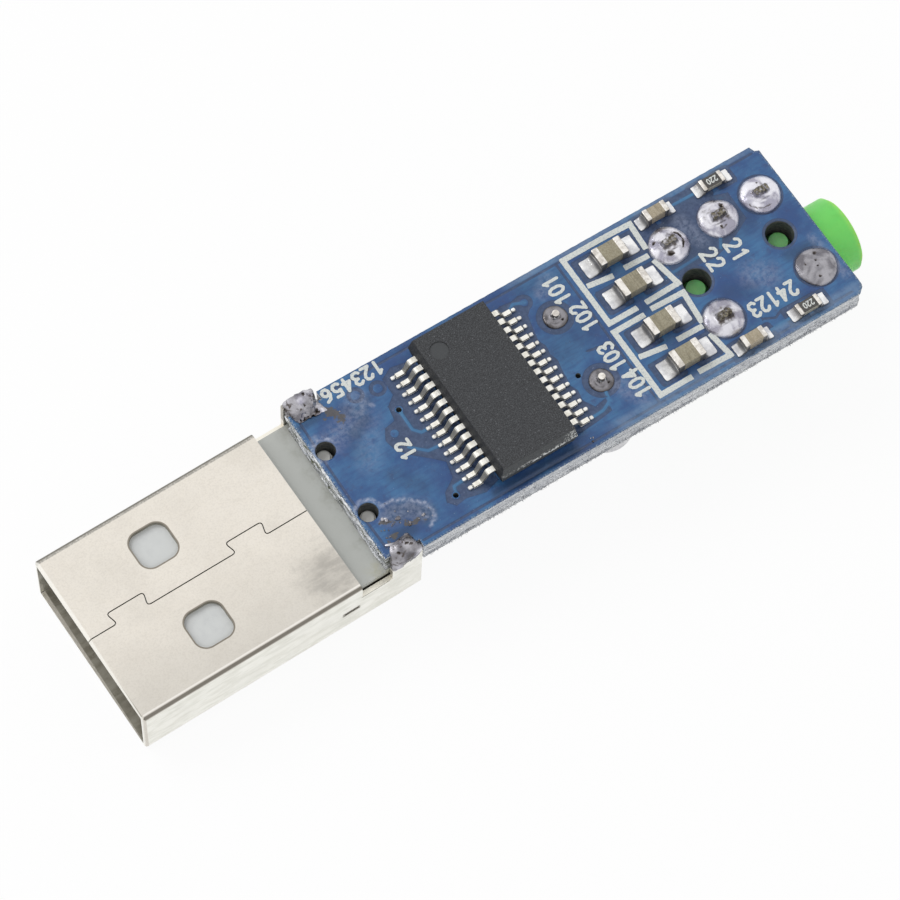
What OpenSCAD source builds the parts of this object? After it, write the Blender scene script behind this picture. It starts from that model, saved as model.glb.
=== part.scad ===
// USB audio adapter board: a folded sheet plug, a narrow circuit board and a headphone jack.
// Millimetres, +Z up, +X from the plug to the jack. The shapes are drawn in board space,
// with x = 0 and y = 0 at the middle of the chip and z = 0 on the board's upper face.

/* [Circuit board] */
// Width of the board
board_w = 11.9; // [11.6:0.1:12.4]
// Thickness of the board
board_t = 1.6; // [1.4:0.1:1.8]
// From the middle of the chip to the board's end at the plug
board_to_plug = 10.95; // [10.8:0.05:11.1]
// From the middle of the chip to the board's end at the jack
board_to_jack = 23.15; // [23:0.05:23.4]
// Width of the neck that sits between the plug's tabs
neck_w = 10.8; // [10.4:0.1:11]
// Length of the neck
neck_l = 2.35; // [2.3:0.05:2.4]

/* [Plug shell] */
// Width of the folded shell
plug_w = 12; // [11.9:0.05:12.1]
// Height of the folded shell
plug_h = 4.5; // [4.4:0.05:4.6]
// Thickness of the steel sheet
sheet_t = 0.3; // [0.25:0.05:0.35]
// Outer radius of the folds
fold_r = 0.4; // [0.35:0.05:0.5]
// From the middle of the chip to the plug's mouth
mouth_to_chip = 28; // [27.8:0.1:28.2]
// Length of the shell's roof
roof_l = 15.05; // [14.9:0.05:15.2]
// Drop from the board's upper face to the shell's roof
plug_drop = 0.85; // [0.75:0.05:0.95]
// Skew of the plug on the board, left by hand soldering, in degrees
plug_skew = 1.1; // [0:0.1:1.4]
// Side of the square latch windows
window_w = 2.5; // [2.3:0.1:2.7]
// Gap left along the folded seam
seam_gap = 0.07; // [0.05:0.01:0.1]

/* [Plug insert] */
// Thickness of the tongue under the roof
tongue_t = 1.9; // [1.8:0.05:2]
// Width of one contact strip
contact_w = 1; // [0.9:0.05:1.1]
// Thickness of one contact strip
contact_t = 0.25; // [0.2:0.05:0.3]

/* [Chip] */
// Length of the chip's body across the board
chip_l = 10.2; // [10.1:0.05:10.3]
// Width of the chip's body at its parting line
chip_w = 5.35; // [5.3:0.05:5.4]
// Distance from one lead to the next
lead_pitch = 0.65; // [0.65:0.01:0.66]
// Distance between the tips of opposite leads
lead_span = 8.15; // [8:0.05:8.2]

/* [Headphone jack] */
// Radius of the jack's bore
bore_r = 1.8; // [1.77:0.01:1.85]
// Outer radius of the jack's nose
nose_r = 2.5; // [2.4:0.05:2.6]
// Length of the nose past the board
nose_l = 2.85; // [2.6:0.05:3]
// Width of the jack's housing
jack_w = 6.2; // [6.1:0.1:6.4]
// Height of the jack's housing
jack_h = 6.2; // [6:0.1:6.4]

/* [Hidden] */
$fn = 40;
eps = 0.01;

// Board
board_x0 = -board_to_plug;
shoulder_x = board_x0 + neck_l;
board_x1 = board_to_jack;
corner_nick = 0.45;
under = -board_t;
locating_hole_r = 0.62;
locating_holes = [[-10.18, 2.34], [-10.18, -2.34]];
via_r = 0.17;
open_vias = [[-5.07, 2.31], [-5.24, -4.15], [5.18, -1.47]];

// Plug
mouth_x = -mouth_to_chip;
roof_x1 = mouth_x + roof_l;
floor_x1 = -10;
wall_x1 = shoulder_x - 0.16;
tab_x0 = -10.85;
roof_z = -plug_drop;
floor_z = roof_z - plug_h;
plug_mid_z = roof_z - plug_h / 2;
wall_top_z = under - 0.5;
wall_low_z = floor_z + fold_r;
// Height of each tab at its front and at its back: first the far one, then the near one
tab_tops = [[0.4, 0.5], [-1.1, -0.25]];
plug_pivot_x = -12;
plug_shift_y = 0.07;
window_x = mouth_x + 6.35;
window_y = 3;
window_r = 0.75;
slit_x = -14.2;
slit_z = -3.41;
slit_l = 1;
slit_h = 0.26;
inner_w = plug_w - 2 * sheet_t;
mouth_bevel = 0.18;

// Seam: a straight line that steps sideways at two dovetails
seam_y = -0.05;
dovetail_l = 2.06;
dovetail_h = 0.86;
dovetail_flare = 0.24;
dovetail_r = 0.26;
dovetails_x = [mouth_x + 1.97, mouth_x + 10.13];

// Insert
tongue_top = roof_z - sheet_t;
tongue_bottom = tongue_top - tongue_t;
tongue_x0 = mouth_x + 0.9;
cavity_x1 = mouth_x + 11.75;
insert_x1 = -9.3;
insert_w = inner_w - 0.1;
locating_peg_r = 0.48;
locating_peg_top = -1;
contact_ys = [3.5, 1, -1, -3.5];
contact_x0s = [mouth_x + 1.7, mouth_x + 2.7, mouth_x + 2.7, mouth_x + 1.7];
contact_z = tongue_bottom + contact_t / 2 - 0.05;
tail_rise_x = insert_x1 + 0.26;
tail_x1 = -6.9;
tail_z = under - 0.04 - contact_t / 2;

// Chip
chip_base_z = 0.12;
chip_top_z = 1.95;
chip_mid_z = 0.95;
chip_draft = 0.17;
lead_count = 14;
shoulder_w = 0.36;
foot_w = 0.28;
foot_l = 0.56;
toe_w = 0.22;
toe_l = 0.36;
lead_t = 0.15;
lead_root = 0.3;
lead_bend_x = chip_w / 2 + 0.46;
lead_tip_x = lead_span / 2;
pad_h = 0.035;
dimple_pos = [-1.48, 3.54];
dimple_r = 0.6;
dimple_depth = 0.06;

// Jack
jack_x0 = 11.4;
jack_x1 = 22.95;
jack_y = -0.12;
jack_top = under;
jack_axis_z = under - jack_h / 2;
bore_x0 = 11.9;
jack_pin_w = 0.8;
jack_pin_t = 0.32;
// The fifth pin ends inside its flat joint
jack_pin_tops = [0.72, 0.72, 0.76, 0.7, 0.22];
jack_hole_r = 0.6;
jack_peg_xs = [14.78, 20.88];
jack_peg_r = 0.6;
jack_peg_top = -0.95;
jack_peg_hole_r = 0.9;
arm_h = 1.1;
arm_t = 0.26;
slot_h = 1.5;
// Place of each pin on the board and the length and way of its spring arm
jack_pins = [[21.42, 2.86], [18.28, 2.88], [14.7, 2.9], [14.72, -2.95], [21.48, -3.02]];
arm_runs = [-2.4, -2.6, -2.2, 2.9, -3.1];
joint_rs = [1.3, 1.3, 1.3, 1.3, 1.35];
joint_hs = [0.62, 0.62, 0.66, 0.6, 0.34];

// Crystal
crystal_pos = [6.18, 0.03];
crystal_lead_gap = 4.96;
crystal_lead_r = 0.22;
crystal_hole_r = 0.42;
crystal_joint_r = 0.8;
crystal_joint_h = 0.45;
crystal_base_l = 11;
crystal_base_w = 4.7;
crystal_base_h = 0.7;
crystal_gap = 0.2;
crystal_can_l = 10.2;
crystal_can_w = 3.9;
crystal_can_h = 2.9;

// Small parts: length, width, height and end length
size_0805 = [2, 1.25, 0.85, 0.45];
size_0603_cap = [1.6, 0.8, 0.8, 0.3];
size_0603_res = [1.6, 0.8, 0.45, 0.28];
seat_h = 0.04;
pad_reach_0805 = 0.95;
pad_reach_0603 = 0.5;
lower_pad_reach = 0.4;
output_caps = [[11.2, 4.18], [11.25, 1.7], [11.25, -1.38], [11.28, -3.97]];
filter_caps = [[15.1, 5.02], [15.28, -5.16]];
output_resistors = [[19.3, 5.05], [19.42, -5.02]];
// Under the board: place and turn of each part
lower_resistors = [
    [-4.6, 4.1, 0], [-4.6, 1.4, 0], [-4.6, -1.4, 0], [-4.6, -4.1, 0], [1.9, 4.6, 0], [1.9, -4.6, 0]
];
lower_caps = [
    [-1.3, 4.3, 0], [-1.3, 1.6, 0], [-1.3, -1.6, 0], [-1.3, -4.3, 0],
    [1.9, 1.6, 0], [1.9, -1.6, 0], [9.95, 3.2, 90], [9.95, -3.2, 90]
];

// Frame: the origin lies under the middle of the whole part, on its lowest plane
reach_x0 = plug_pivot_x - (plug_pivot_x - mouth_x) * cos(plug_skew) - plug_w / 2 * sin(plug_skew);
reach_x1 = board_x1 + nose_l;
reach_y0 = plug_shift_y - (plug_pivot_x - mouth_x) * sin(plug_skew) - plug_w / 2 * cos(plug_skew);
reach_y1 = plug_shift_y + (wall_x1 - plug_pivot_x) * sin(plug_skew) + plug_w / 2 * cos(plug_skew);
frame_x = (reach_x0 + reach_x1) / 2;
frame_y = (reach_y0 + reach_y1) / 2;
frame_z = board_t + jack_h;

// Unit vector from a to b
function toward(a, b) = (b - a) / norm(b - a);

// Polyline with its inner corners rounded by short curves that start r before each corner
function soft_path(pts, r, n = 4) = concat(
    [pts[0]],
    [for (i = [1 : len(pts) - 2], k = [0 : n])
        let (t = k / n, p = pts[i], a = p + r * toward(p, pts[i - 1]), b = p + r * toward(p, pts[i + 1]))
        (1 - t) * (1 - t) * a + 2 * t * (1 - t) * p + t * t * b],
    [pts[len(pts) - 1]]
);

// Normal of a polyline at point i
function side_of(pts, i) =
    let (d = toward(pts[max(i - 1, 0)], pts[min(i + 1, len(pts) - 1)])) [-d[1], d[0]];

// Outline of a strip of thickness t that follows a polyline
function strip(pts, t) = concat(
    [for (i = [0 : len(pts) - 1]) pts[i] + side_of(pts, i) * t / 2],
    [for (i = [len(pts) - 1 : -1 : 0]) pts[i] - side_of(pts, i) * t / 2]
);

module seat() {
    translate([-frame_x, -frame_y, frame_z]) children();
}

// The plug's own pieces share its small skew
module on_plug() {
    translate([plug_pivot_x, plug_shift_y, 0])
        rotate([0, 0, plug_skew])
            translate([-plug_pivot_x, 0, 0]) children();
}

// A flat shape drawn across the board and pulled along X
module along_x(x0, x1) {
    translate([x0, 0, 0]) rotate([90, 0, 90]) linear_extrude(x1 - x0) children();
}

// A flat shape drawn in X and Z and pulled to both sides of y = 0
module across(w) {
    translate([0, w / 2, 0]) rotate([90, 0, 0]) linear_extrude(w) children();
}

module round_box(w, h, r) {
    square([w - 2 * r, h], center = true);
    square([w, h - 2 * r], center = true);
    for (x = [-1, 1], y = [-1, 1])
        translate([x * (w / 2 - r), y * (h / 2 - r)]) circle(r);
}

module board_outline() {
    polygon([
        [board_x0, -neck_w / 2], [shoulder_x, -neck_w / 2], [shoulder_x, -board_w / 2],
        [board_x1 - corner_nick, -board_w / 2], [board_x1, corner_nick / 2 - board_w / 2],
        [board_x1, board_w / 2 - corner_nick], [board_x1 - corner_nick, board_w / 2],
        [shoulder_x, board_w / 2], [shoulder_x, neck_w / 2], [board_x0, neck_w / 2]
    ]);
}

module drilled(spots, r) {
    for (p = spots)
        translate([p[0], p[1], under - 1]) cylinder(r = r, h = board_t + 2);
}

function crystal_spots() = [
    for (s = [1, -1]) [crystal_pos[0], crystal_pos[1] + s * crystal_lead_gap / 2]
];

module circuit_board() {
    color("steelblue") difference() {
        translate([0, 0, under]) linear_extrude(board_t) board_outline();
        drilled(locating_holes, locating_hole_r);
        drilled(jack_pins, jack_hole_r);
        drilled([for (x = jack_peg_xs) [x, 0]], jack_peg_hole_r);
        drilled(crystal_spots(), crystal_hole_r);
        drilled(open_vias, via_r);
    }
}

// Upright tab that the shell's side wall carries through the notch beside the neck
module tab_plate(side) {
    tops = side > 0 ? tab_tops[0] : tab_tops[1];
    low = wall_top_z - 1;
    corner = 0.25;
    translate([0, side * (plug_w - sheet_t) / 2, 0]) across(sheet_t) polygon([
        [tab_x0, low], [wall_x1, low],
        [wall_x1, tops[1] - corner], [wall_x1 - corner, tops[1]], [tab_x0, tops[0]]
    ]);
}

// Line of the seam, from the mouth to the end of the roof
function seam_line() = concat(
    [[mouth_x - 1, seam_y]],
    [for (x = dovetails_x, p = [
        [x, seam_y], [x - dovetail_flare, seam_y + dovetail_h],
        [x + dovetail_l + dovetail_flare, seam_y + dovetail_h], [x + dovetail_l, seam_y]
    ]) p],
    [[roof_x1 + 1, seam_y]]
);

module window_cut(z) {
    for (s = [-1, 1])
        translate([window_x, s * window_y, z]) linear_extrude(2 * sheet_t, center = true)
            round_box(window_w, window_w, window_r);
}

// Bevels pressed round the mouth so that the plug finds its socket
module mouth_bevels() {
    edge = mouth_bevel * sqrt(2);
    for (s = [-1, 1]) {
        translate([mouth_x, 0, plug_mid_z + s * plug_h / 2])
            rotate([0, 45, 0]) cube([edge, 2 * plug_w, edge], center = true);
        translate([mouth_x, s * plug_w / 2, plug_mid_z])
            rotate([0, 0, 45]) cube([edge, edge, 2 * plug_h], center = true);
    }
}

module usb_shell() {
    open_x = wall_x1 + 5;
    color("gainsboro") on_plug() {
        difference() {
            translate([0, 0, plug_mid_z]) along_x(mouth_x, wall_x1) difference() {
                round_box(plug_w, plug_h, fold_r);
                round_box(inner_w, plug_h - 2 * sheet_t, fold_r - sheet_t);
            }
            translate([roof_x1, -plug_w, wall_top_z]) cube([open_x - roof_x1, 2 * plug_w, plug_h]);
            translate([floor_x1, -plug_w, wall_low_z - plug_h]) cube([open_x - floor_x1, 2 * plug_w, plug_h]);
            window_cut(roof_z);
            window_cut(floor_z);
            translate([0, 0, roof_z - 2 * sheet_t]) linear_extrude(4 * sheet_t)
                polygon(strip(soft_path(seam_line(), dovetail_r), seam_gap));
            for (s = [-1, 1])
                translate([slit_x, s * plug_w / 2 - sheet_t, slit_z]) cube([slit_l, 2 * sheet_t, slit_h]);
            mouth_bevels();
        }
        for (s = [-1, 1]) tab_plate(s);
    }
}

module usb_insulator() {
    body_h = plug_h - 2 * sheet_t;
    nose_cut = 0.5;
    overlap = 1;
    ledge_z = floor_z + sheet_t;
    ledge_w = insert_w - 0.1;
    peg_h = locating_peg_top - under + 0.5;
    peg_step = 0.1;
    edge_cut = 0.6;
    color("lightgray") on_plug() difference() {
        union() {
            // Tongue that carries the contacts, with a sloped front edge
            intersection() {
                across(insert_w) polygon([
                    [tongue_x0, tongue_top], [cavity_x1 + overlap, tongue_top],
                    [cavity_x1 + overlap, tongue_bottom], [tongue_x0 + nose_cut, tongue_bottom],
                    [tongue_x0, tongue_bottom + nose_cut]
                ]);
                translate([0, 0, plug_mid_z]) along_x(tongue_x0, cavity_x1 + overlap)
                    round_box(insert_w, body_h, fold_r);
            }
            // Block that closes the back of the shell
            translate([0, 0, plug_mid_z]) along_x(cavity_x1, roof_x1) round_box(insert_w, body_h, fold_r);
            // Ledge that carries the board, and the pegs that locate it
            translate([roof_x1 - overlap, -ledge_w / 2, ledge_z])
                cube([insert_x1 - roof_x1 + overlap, ledge_w, under - ledge_z]);
            for (p = locating_holes)
                translate([p[0], p[1], locating_peg_top - peg_h]) {
                    cylinder(r = locating_peg_r, h = peg_h - peg_step);
                    cylinder(r = locating_peg_r - peg_step, h = peg_h);
                }
        }
        // Rounds the ledge's lower edges to clear the folds
        for (s = [-1, 1])
            translate([roof_x1 - 2, s * insert_w / 2, ledge_z]) rotate([45, 0, 0])
                translate([0, -edge_cut / 2, -edge_cut / 2]) cube([8, edge_cut, edge_cut]);
        // Channels for the contact strips
        for (i = [0 : 3])
            translate([0, contact_ys[i], 0]) across(contact_w + 0.04)
                polygon(strip([[contact_x0s[i], contact_z], [insert_x1 + 1, contact_z]], contact_t));
    }
}

module usb_contact(i) {
    path = soft_path([
        [contact_x0s[i], contact_z], [tail_rise_x, contact_z], [tail_rise_x, tail_z], [tail_x1, tail_z]
    ], 0.22);
    color("gold") on_plug() translate([0, contact_ys[i], 0]) across(contact_w)
        polygon(strip(path, contact_t));
}

// Solder under each contact tail, with a small ramp at its tip
module contact_solder() {
    ramp = 0.45;
    pad_x0 = tail_rise_x + 0.5;
    pad_w = contact_w + 0.5;
    low = under - seat_h;
    color("silver") on_plug() for (y = contact_ys)
        translate([0, y, 0]) across(pad_w) polygon([
            [pad_x0, under], [tail_x1 + ramp, under], [tail_x1, tail_z], [tail_x1, low], [pad_x0, low]
        ]);
}

module blob(centres, r) {
    hull() for (p = centres) translate(p) sphere(r, $fn = 20);
}

// Solder that covers a tab, holds it in its notch and spreads over the board's corner
module tab_solder(side, spots, r) {
    notch_mid_y = (neck_w + inner_w) / 4;
    fill_l = 1.8;
    fill_w = 0.6;
    deep = 5;
    color("silver") difference() {
        intersection() {
            union() {
                blob(spots, r);
                translate([tab_x0 + 0.2, side * notch_mid_y - fill_w / 2, under + eps])
                    cube([fill_l, fill_w, board_t]);
            }
            on_plug() translate([mouth_x, -plug_w / 2, -deep]) cube([-mouth_x, plug_w, 2 * deep]);
        }
        translate([0, 0, -deep]) linear_extrude(deep) board_outline();
        on_plug() tab_plate(side);
        translate([2 * board_x0, -board_w, under - deep]) cube([-2 * board_x0, 2 * board_w, deep + eps]);
    }
}

module tab_solder_far() {
    tab_solder(1, [
        [-10.45, 5.65, 0.36], [-9.35, 5.65, 0.4], [-10.3, 4.95, 0], [-9.3, 4.9, 0], [-9.9, 5.5, -0.9]
    ], 0.5);
}

module tab_solder_near() {
    tab_solder(-1, [
        [-10.35, -5.6, -0.6], [-9.3, -5.6, -0.1], [-10, -5.15, -0.1], [-9.3, -5.1, -0.08], [-9.9, -5.3, -0.9]
    ], 0.45);
}

// A round bar on the jack's axis, from x0 to x1
module on_jack_axis(x0, x1, r0, r1) {
    translate([x0, jack_y, jack_axis_z]) rotate([0, 90, 0]) cylinder(r1 = r0, r2 = r1, h = x1 - x0);
}

module jack_housing() {
    edge_r = 0.35;
    nose_step = 0.2;
    lip = 0.3;
    groove_w = jack_pin_w + 0.3;
    groove_gap = 0.25;
    groove_depth = 2;
    slot_gap = 0.4;
    slot_z = jack_axis_z - slot_h / 2;
    hollow_l = 5.2;
    hollow_w = 2.2;
    color("limegreen") difference() {
        union() {
            translate([0, jack_y, jack_axis_z]) along_x(jack_x0, jack_x1) round_box(jack_w, jack_h, edge_r);
            on_jack_axis(jack_x1 - 1, reach_x1 - nose_step, nose_r, nose_r);
            on_jack_axis(jack_x1 - 1, reach_x1, nose_r - nose_step, nose_r - nose_step);
            for (x = jack_peg_xs)
                translate([x, 0, jack_top - 1]) cylinder(r = jack_peg_r, h = jack_peg_top - jack_top + 1);
        }
        // Bore and its flared lip
        on_jack_axis(bore_x0, reach_x1 + 1, bore_r, bore_r);
        on_jack_axis(reach_x1 - lip, reach_x1 + eps, bore_r, bore_r + lip);
        // Grooves for the pins, open at the sides and at the board
        for (p = jack_pins) {
            inner_y = abs(p[1]) - groove_gap;
            mirror([0, p[1] > 0 ? 0 : 1, 0]) translate([p[0] - groove_w / 2, inner_y, slot_z])
                cube([groove_w, groove_depth, jack_h]);
        }
        // Slots that let the spring arms reach the plug
        for (i = [0 : 4]) {
            x = jack_pins[i][0];
            x0 = min(x, x + arm_runs[i]) - slot_gap;
            x1 = max(x, x + arm_runs[i]) + slot_gap;
            mirror([0, jack_pins[i][1] > 0 ? 0 : 1, 0]) translate([x0, 1, slot_z])
                cube([x1 - x0, jack_w / 2, slot_h]);
        }
        // Hollow under the springs, moulded open on the far side from the board
        translate([jack_x0 + 1.2, jack_y - hollow_w / 2, jack_axis_z - jack_h])
            cube([hollow_l, hollow_w, jack_h / 2 + 1.6]);
    }
}

// Stamped strip: a pin through the board and a sprung arm that leans on the plug
module jack_terminal(i) {
    p = jack_pins[i];
    s = sign(p[1]);
    run = arm_runs[i];
    touch_y = jack_y + s * (bore_r + jack_pin_t / 2 + 0.01);
    arm = soft_path([
        [p[0] - sign(run) * 0.3, p[1]], [p[0] + run * 0.35, p[1]], [p[0] + run * 0.8, touch_y],
        [p[0] + run, touch_y + s * 0.2]
    ], 0.28);
    arm_z = jack_axis_z - arm_h / 2;
    color("silver") {
        jack_pin(i, arm_z);
        translate([0, 0, arm_z]) linear_extrude(arm_h) polygon(strip(arm, arm_t));
    }
}

// Upright part of a terminal, from z0 to its tip
module jack_pin(i, z0) {
    p = jack_pins[i];
    translate([p[0] - jack_pin_w / 2, p[1] - jack_pin_t / 2, z0])
        cube([jack_pin_w, jack_pin_t, jack_pin_tops[i] - z0]);
}

// Solder joint: a bell that rises to the pin, with a stem that fills the hole
module joint(pos, r, h, hole_r) {
    steps = 9;
    rim = 0.05;
    translate([pos[0], pos[1], 0]) {
        rotate_extrude() polygon(concat(
            [[0, 0]],
            [for (i = [steps : -1 : 0]) let (q = i / steps) [r * q, rim + h * (1 + cos(180 * q)) / 2]]
        ));
        rotate_extrude() polygon([[0, under], [hole_r, under], [hole_r, 0], [r, 0], [r, rim], [0, rim]]);
    }
}

module jack_joint(i) {
    color("silver") difference() {
        joint(jack_pins[i], joint_rs[i], joint_hs[i], jack_hole_r);
        jack_pin(i, under - 1);
    }
}

module chip_body() {
    half_w = chip_w / 2;
    half_l = chip_l / 2;
    color("dimgray") difference() {
        intersection() {
            across(chip_l + 1) polygon(chip_section(half_w));
            rotate([0, 0, 90]) across(chip_w + 1) polygon(chip_section(half_l));
        }
        translate([dimple_pos[0], dimple_pos[1], chip_top_z - dimple_depth]) cylinder(r = dimple_r, h = 1);
        for (s = [-1, 1]) lead_row(s)
            translate([half_w - lead_root, -shoulder_w / 2, chip_mid_z - lead_t / 2])
                cube([1, shoulder_w, lead_t]);
    }
}

// Section of the moulded body: it draws in above and below the parting line
function chip_section(half) = [
    [-half, chip_mid_z], [chip_draft - half, chip_base_z], [half - chip_draft, chip_base_z],
    [half, chip_mid_z], [half - chip_draft, chip_top_z], [chip_draft - half, chip_top_z]
];

// One row of leads, on the side that s names
module lead_row(s) {
    for (i = [0 : lead_count - 1])
        translate([0, (i - (lead_count - 1) / 2) * lead_pitch, 0]) rotate([0, 0, s > 0 ? 0 : 180]) children();
}

// One lead: a bent strip with a broad shoulder that narrows on its way down to the foot
module gull_wing() {
    root_x = chip_w / 2 - lead_root;
    foot_z = pad_h + lead_t / 2;
    narrow_x0 = lead_bend_x + 0.06;
    narrow_x1 = lead_bend_x + 0.28;
    bends = soft_path([
        [root_x, chip_mid_z], [lead_bend_x, chip_mid_z], [lead_tip_x - foot_l, foot_z], [lead_tip_x, foot_z]
    ], 0.16);
    intersection() {
        across(shoulder_w) polygon(strip(bends, lead_t));
        linear_extrude(chip_top_z) polygon([
            [root_x, -shoulder_w / 2], [narrow_x0, -shoulder_w / 2], [narrow_x1, -foot_w / 2],
            [lead_tip_x, -foot_w / 2], [lead_tip_x, foot_w / 2], [narrow_x1, foot_w / 2],
            [narrow_x0, shoulder_w / 2], [root_x, shoulder_w / 2]
        ]);
    }
}

module chip_leads() {
    color("whitesmoke") for (s = [-1, 1]) lead_row(s) gull_wing();
}

// Pad under each foot, and the toe of solder that climbs its tip
module chip_solder() {
    pad_x0 = lead_tip_x - foot_l;
    pad_x1 = lead_tip_x + toe_l;
    color("silver") for (s = [-1, 1]) lead_row(s) across(toe_w) {
        polygon([[pad_x0, 0], [pad_x1, 0], [pad_x1, pad_h], [pad_x0, pad_h]]);
        polygon([
            [lead_tip_x, pad_h], [pad_x1 - 0.06, pad_h], [lead_tip_x + 0.14, 0.1],
            [lead_tip_x, pad_h + lead_t * 0.8]
        ]);
    }
}

// Small part with fired metal ends that stand slightly proud of its middle
module chip_part(size, tone) {
    proud = 0.025;
    l = size[0];
    color(tone) translate([0, 0, seat_h]) {
        translate([-l / 2 + eps, -size[1] / 2 + proud, proud])
            cube([l - 2 * eps, size[1] - 2 * proud, size[2] - 2 * proud]);
        for (s = [-1, 1])
            translate([s * (l - size[3]) / 2, 0, size[2] / 2]) rotate([90, 0, 90])
                linear_extrude(size[3], center = true) round_box(size[1], size[2], 0.08);
    }
}

// Solder at both ends of a small part: a pad that runs under it and a ramp up its end
module part_pads(size, reach) {
    w = size[1] + 0.1;
    top = seat_h + size[2] * 0.55;
    foot = size[0] / 2;
    inner = foot - size[3];
    color("silver") for (turn = [0, 180]) rotate([0, 0, turn]) across(w) polygon([
        [inner, 0], [foot + reach, 0], [foot + reach, seat_h], [foot + reach * 0.35, seat_h + 0.12],
        [foot, top], [foot, seat_h], [inner, seat_h]
    ]);
}

module at_spot(p) {
    translate([p[0], p[1], 0]) children();
}

module under_board(p) {
    translate([p[0], p[1], under]) mirror([0, 0, 1]) rotate([0, 0, p[2]]) children();
}

module top_pads() {
    for (p = output_caps) at_spot(p) part_pads(size_0805, pad_reach_0805);
    for (p = filter_caps) at_spot(p) part_pads(size_0603_cap, pad_reach_0603);
    for (p = output_resistors) at_spot(p) part_pads(size_0603_res, pad_reach_0603);
}

module lower_pads() {
    for (p = lower_resistors) under_board(p) part_pads(size_0603_res, lower_pad_reach);
    for (p = lower_caps) under_board(p) part_pads(size_0603_cap, lower_pad_reach);
}

// Pill shape with one rounded end face, turned so that it hangs under the board
module can_shape(l, w, h, r) {
    edge = w / 2 - r;
    half = (l - w) / 2;
    steps = 5;
    profile = concat(
        [[0, 0], [w / 2, 0]],
        [for (i = [0 : steps]) [edge + r * cos(90 * i / steps), h - r + r * sin(90 * i / steps)]],
        [[0, h]]
    );
    for (s = [-1, 1]) translate([0, s * half, 0]) rotate_extrude() polygon(profile);
    for (turn = [0, 180]) rotate([90, 0, turn]) linear_extrude(2 * half, center = true) polygon(profile);
}

module crystal_base() {
    color("lightsteelblue") difference() {
        translate([crystal_pos[0], crystal_pos[1], under - crystal_gap]) mirror([0, 0, 1])
            can_shape(crystal_base_l, crystal_base_w, crystal_base_h, 0.12);
        for (p = crystal_spots()) translate([p[0], p[1], under - 3]) cylinder(r = crystal_lead_r, h = 3);
    }
}

module crystal_can() {
    color("lightsteelblue")
        translate([crystal_pos[0], crystal_pos[1], under - crystal_gap - crystal_base_h]) mirror([0, 0, 1])
            can_shape(crystal_can_l, crystal_can_w, crystal_can_h, 0.7);
}

module crystal_lead(i) {
    p = crystal_spots()[i];
    base_z = under - crystal_gap - crystal_base_h;
    tip_z = crystal_joint_h + 0.12;
    color("silver") translate([p[0], p[1], base_z]) cylinder(r = crystal_lead_r, h = tip_z - base_z);
}

module crystal_joint(i) {
    p = crystal_spots()[i];
    color("silver") difference() {
        joint(p, crystal_joint_r, crystal_joint_h, crystal_hole_r);
        translate([p[0], p[1], under - 1]) cylinder(r = crystal_lead_r, h = board_t + 3);
    }
}

seat() circuit_board();
seat() usb_shell();
seat() usb_insulator();
seat() usb_contact(0);  // usb_contact_1
seat() usb_contact(1);  // usb_contact_2
seat() usb_contact(2);  // usb_contact_3
seat() usb_contact(3);  // usb_contact_4
seat() contact_solder();
seat() tab_solder_far();
seat() tab_solder_near();
seat() jack_housing();
seat() jack_terminal(0);  // jack_terminal_1
seat() jack_terminal(1);  // jack_terminal_2
seat() jack_terminal(2);  // jack_terminal_3
seat() jack_terminal(3);  // jack_terminal_4
seat() jack_terminal(4);  // jack_terminal_5
seat() jack_joint(0);  // jack_joint_1
seat() jack_joint(1);  // jack_joint_2
seat() jack_joint(2);  // jack_joint_3
seat() jack_joint(3);  // jack_joint_4
seat() jack_joint(4);  // jack_joint_5
seat() chip_body();
seat() chip_leads();
seat() chip_solder();
seat() at_spot(output_caps[0]) chip_part(size_0805, "tan");  // output_cap_1
seat() at_spot(output_caps[1]) chip_part(size_0805, "tan");  // output_cap_2
seat() at_spot(output_caps[2]) chip_part(size_0805, "tan");  // output_cap_3
seat() at_spot(output_caps[3]) chip_part(size_0805, "tan");  // output_cap_4
seat() at_spot(filter_caps[0]) chip_part(size_0603_cap, "tan");  // filter_cap_1
seat() at_spot(filter_caps[1]) chip_part(size_0603_cap, "tan");  // filter_cap_2
seat() at_spot(output_resistors[0]) chip_part(size_0603_res, "dimgray");  // output_resistor_1
seat() at_spot(output_resistors[1]) chip_part(size_0603_res, "dimgray");  // output_resistor_2
seat() top_pads();
seat() crystal_can();
seat() crystal_base();
seat() crystal_lead(0);  // crystal_lead_1
seat() crystal_lead(1);  // crystal_lead_2
seat() crystal_joint(0);  // crystal_joint_1
seat() crystal_joint(1);  // crystal_joint_2
seat() under_board(lower_resistors[0]) chip_part(size_0603_res, "dimgray");  // lower_resistor_1
seat() under_board(lower_resistors[1]) chip_part(size_0603_res, "dimgray");  // lower_resistor_2
seat() under_board(lower_resistors[2]) chip_part(size_0603_res, "dimgray");  // lower_resistor_3
seat() under_board(lower_resistors[3]) chip_part(size_0603_res, "dimgray");  // lower_resistor_4
seat() under_board(lower_resistors[4]) chip_part(size_0603_res, "dimgray");  // lower_resistor_5
seat() under_board(lower_resistors[5]) chip_part(size_0603_res, "dimgray");  // lower_resistor_6
seat() under_board(lower_caps[0]) chip_part(size_0603_cap, "tan");  // lower_cap_1
seat() under_board(lower_caps[1]) chip_part(size_0603_cap, "tan");  // lower_cap_2
seat() under_board(lower_caps[2]) chip_part(size_0603_cap, "tan");  // lower_cap_3
seat() under_board(lower_caps[3]) chip_part(size_0603_cap, "tan");  // lower_cap_4
seat() under_board(lower_caps[4]) chip_part(size_0603_cap, "tan");  // lower_cap_5
seat() under_board(lower_caps[5]) chip_part(size_0603_cap, "tan");  // lower_cap_6
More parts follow.
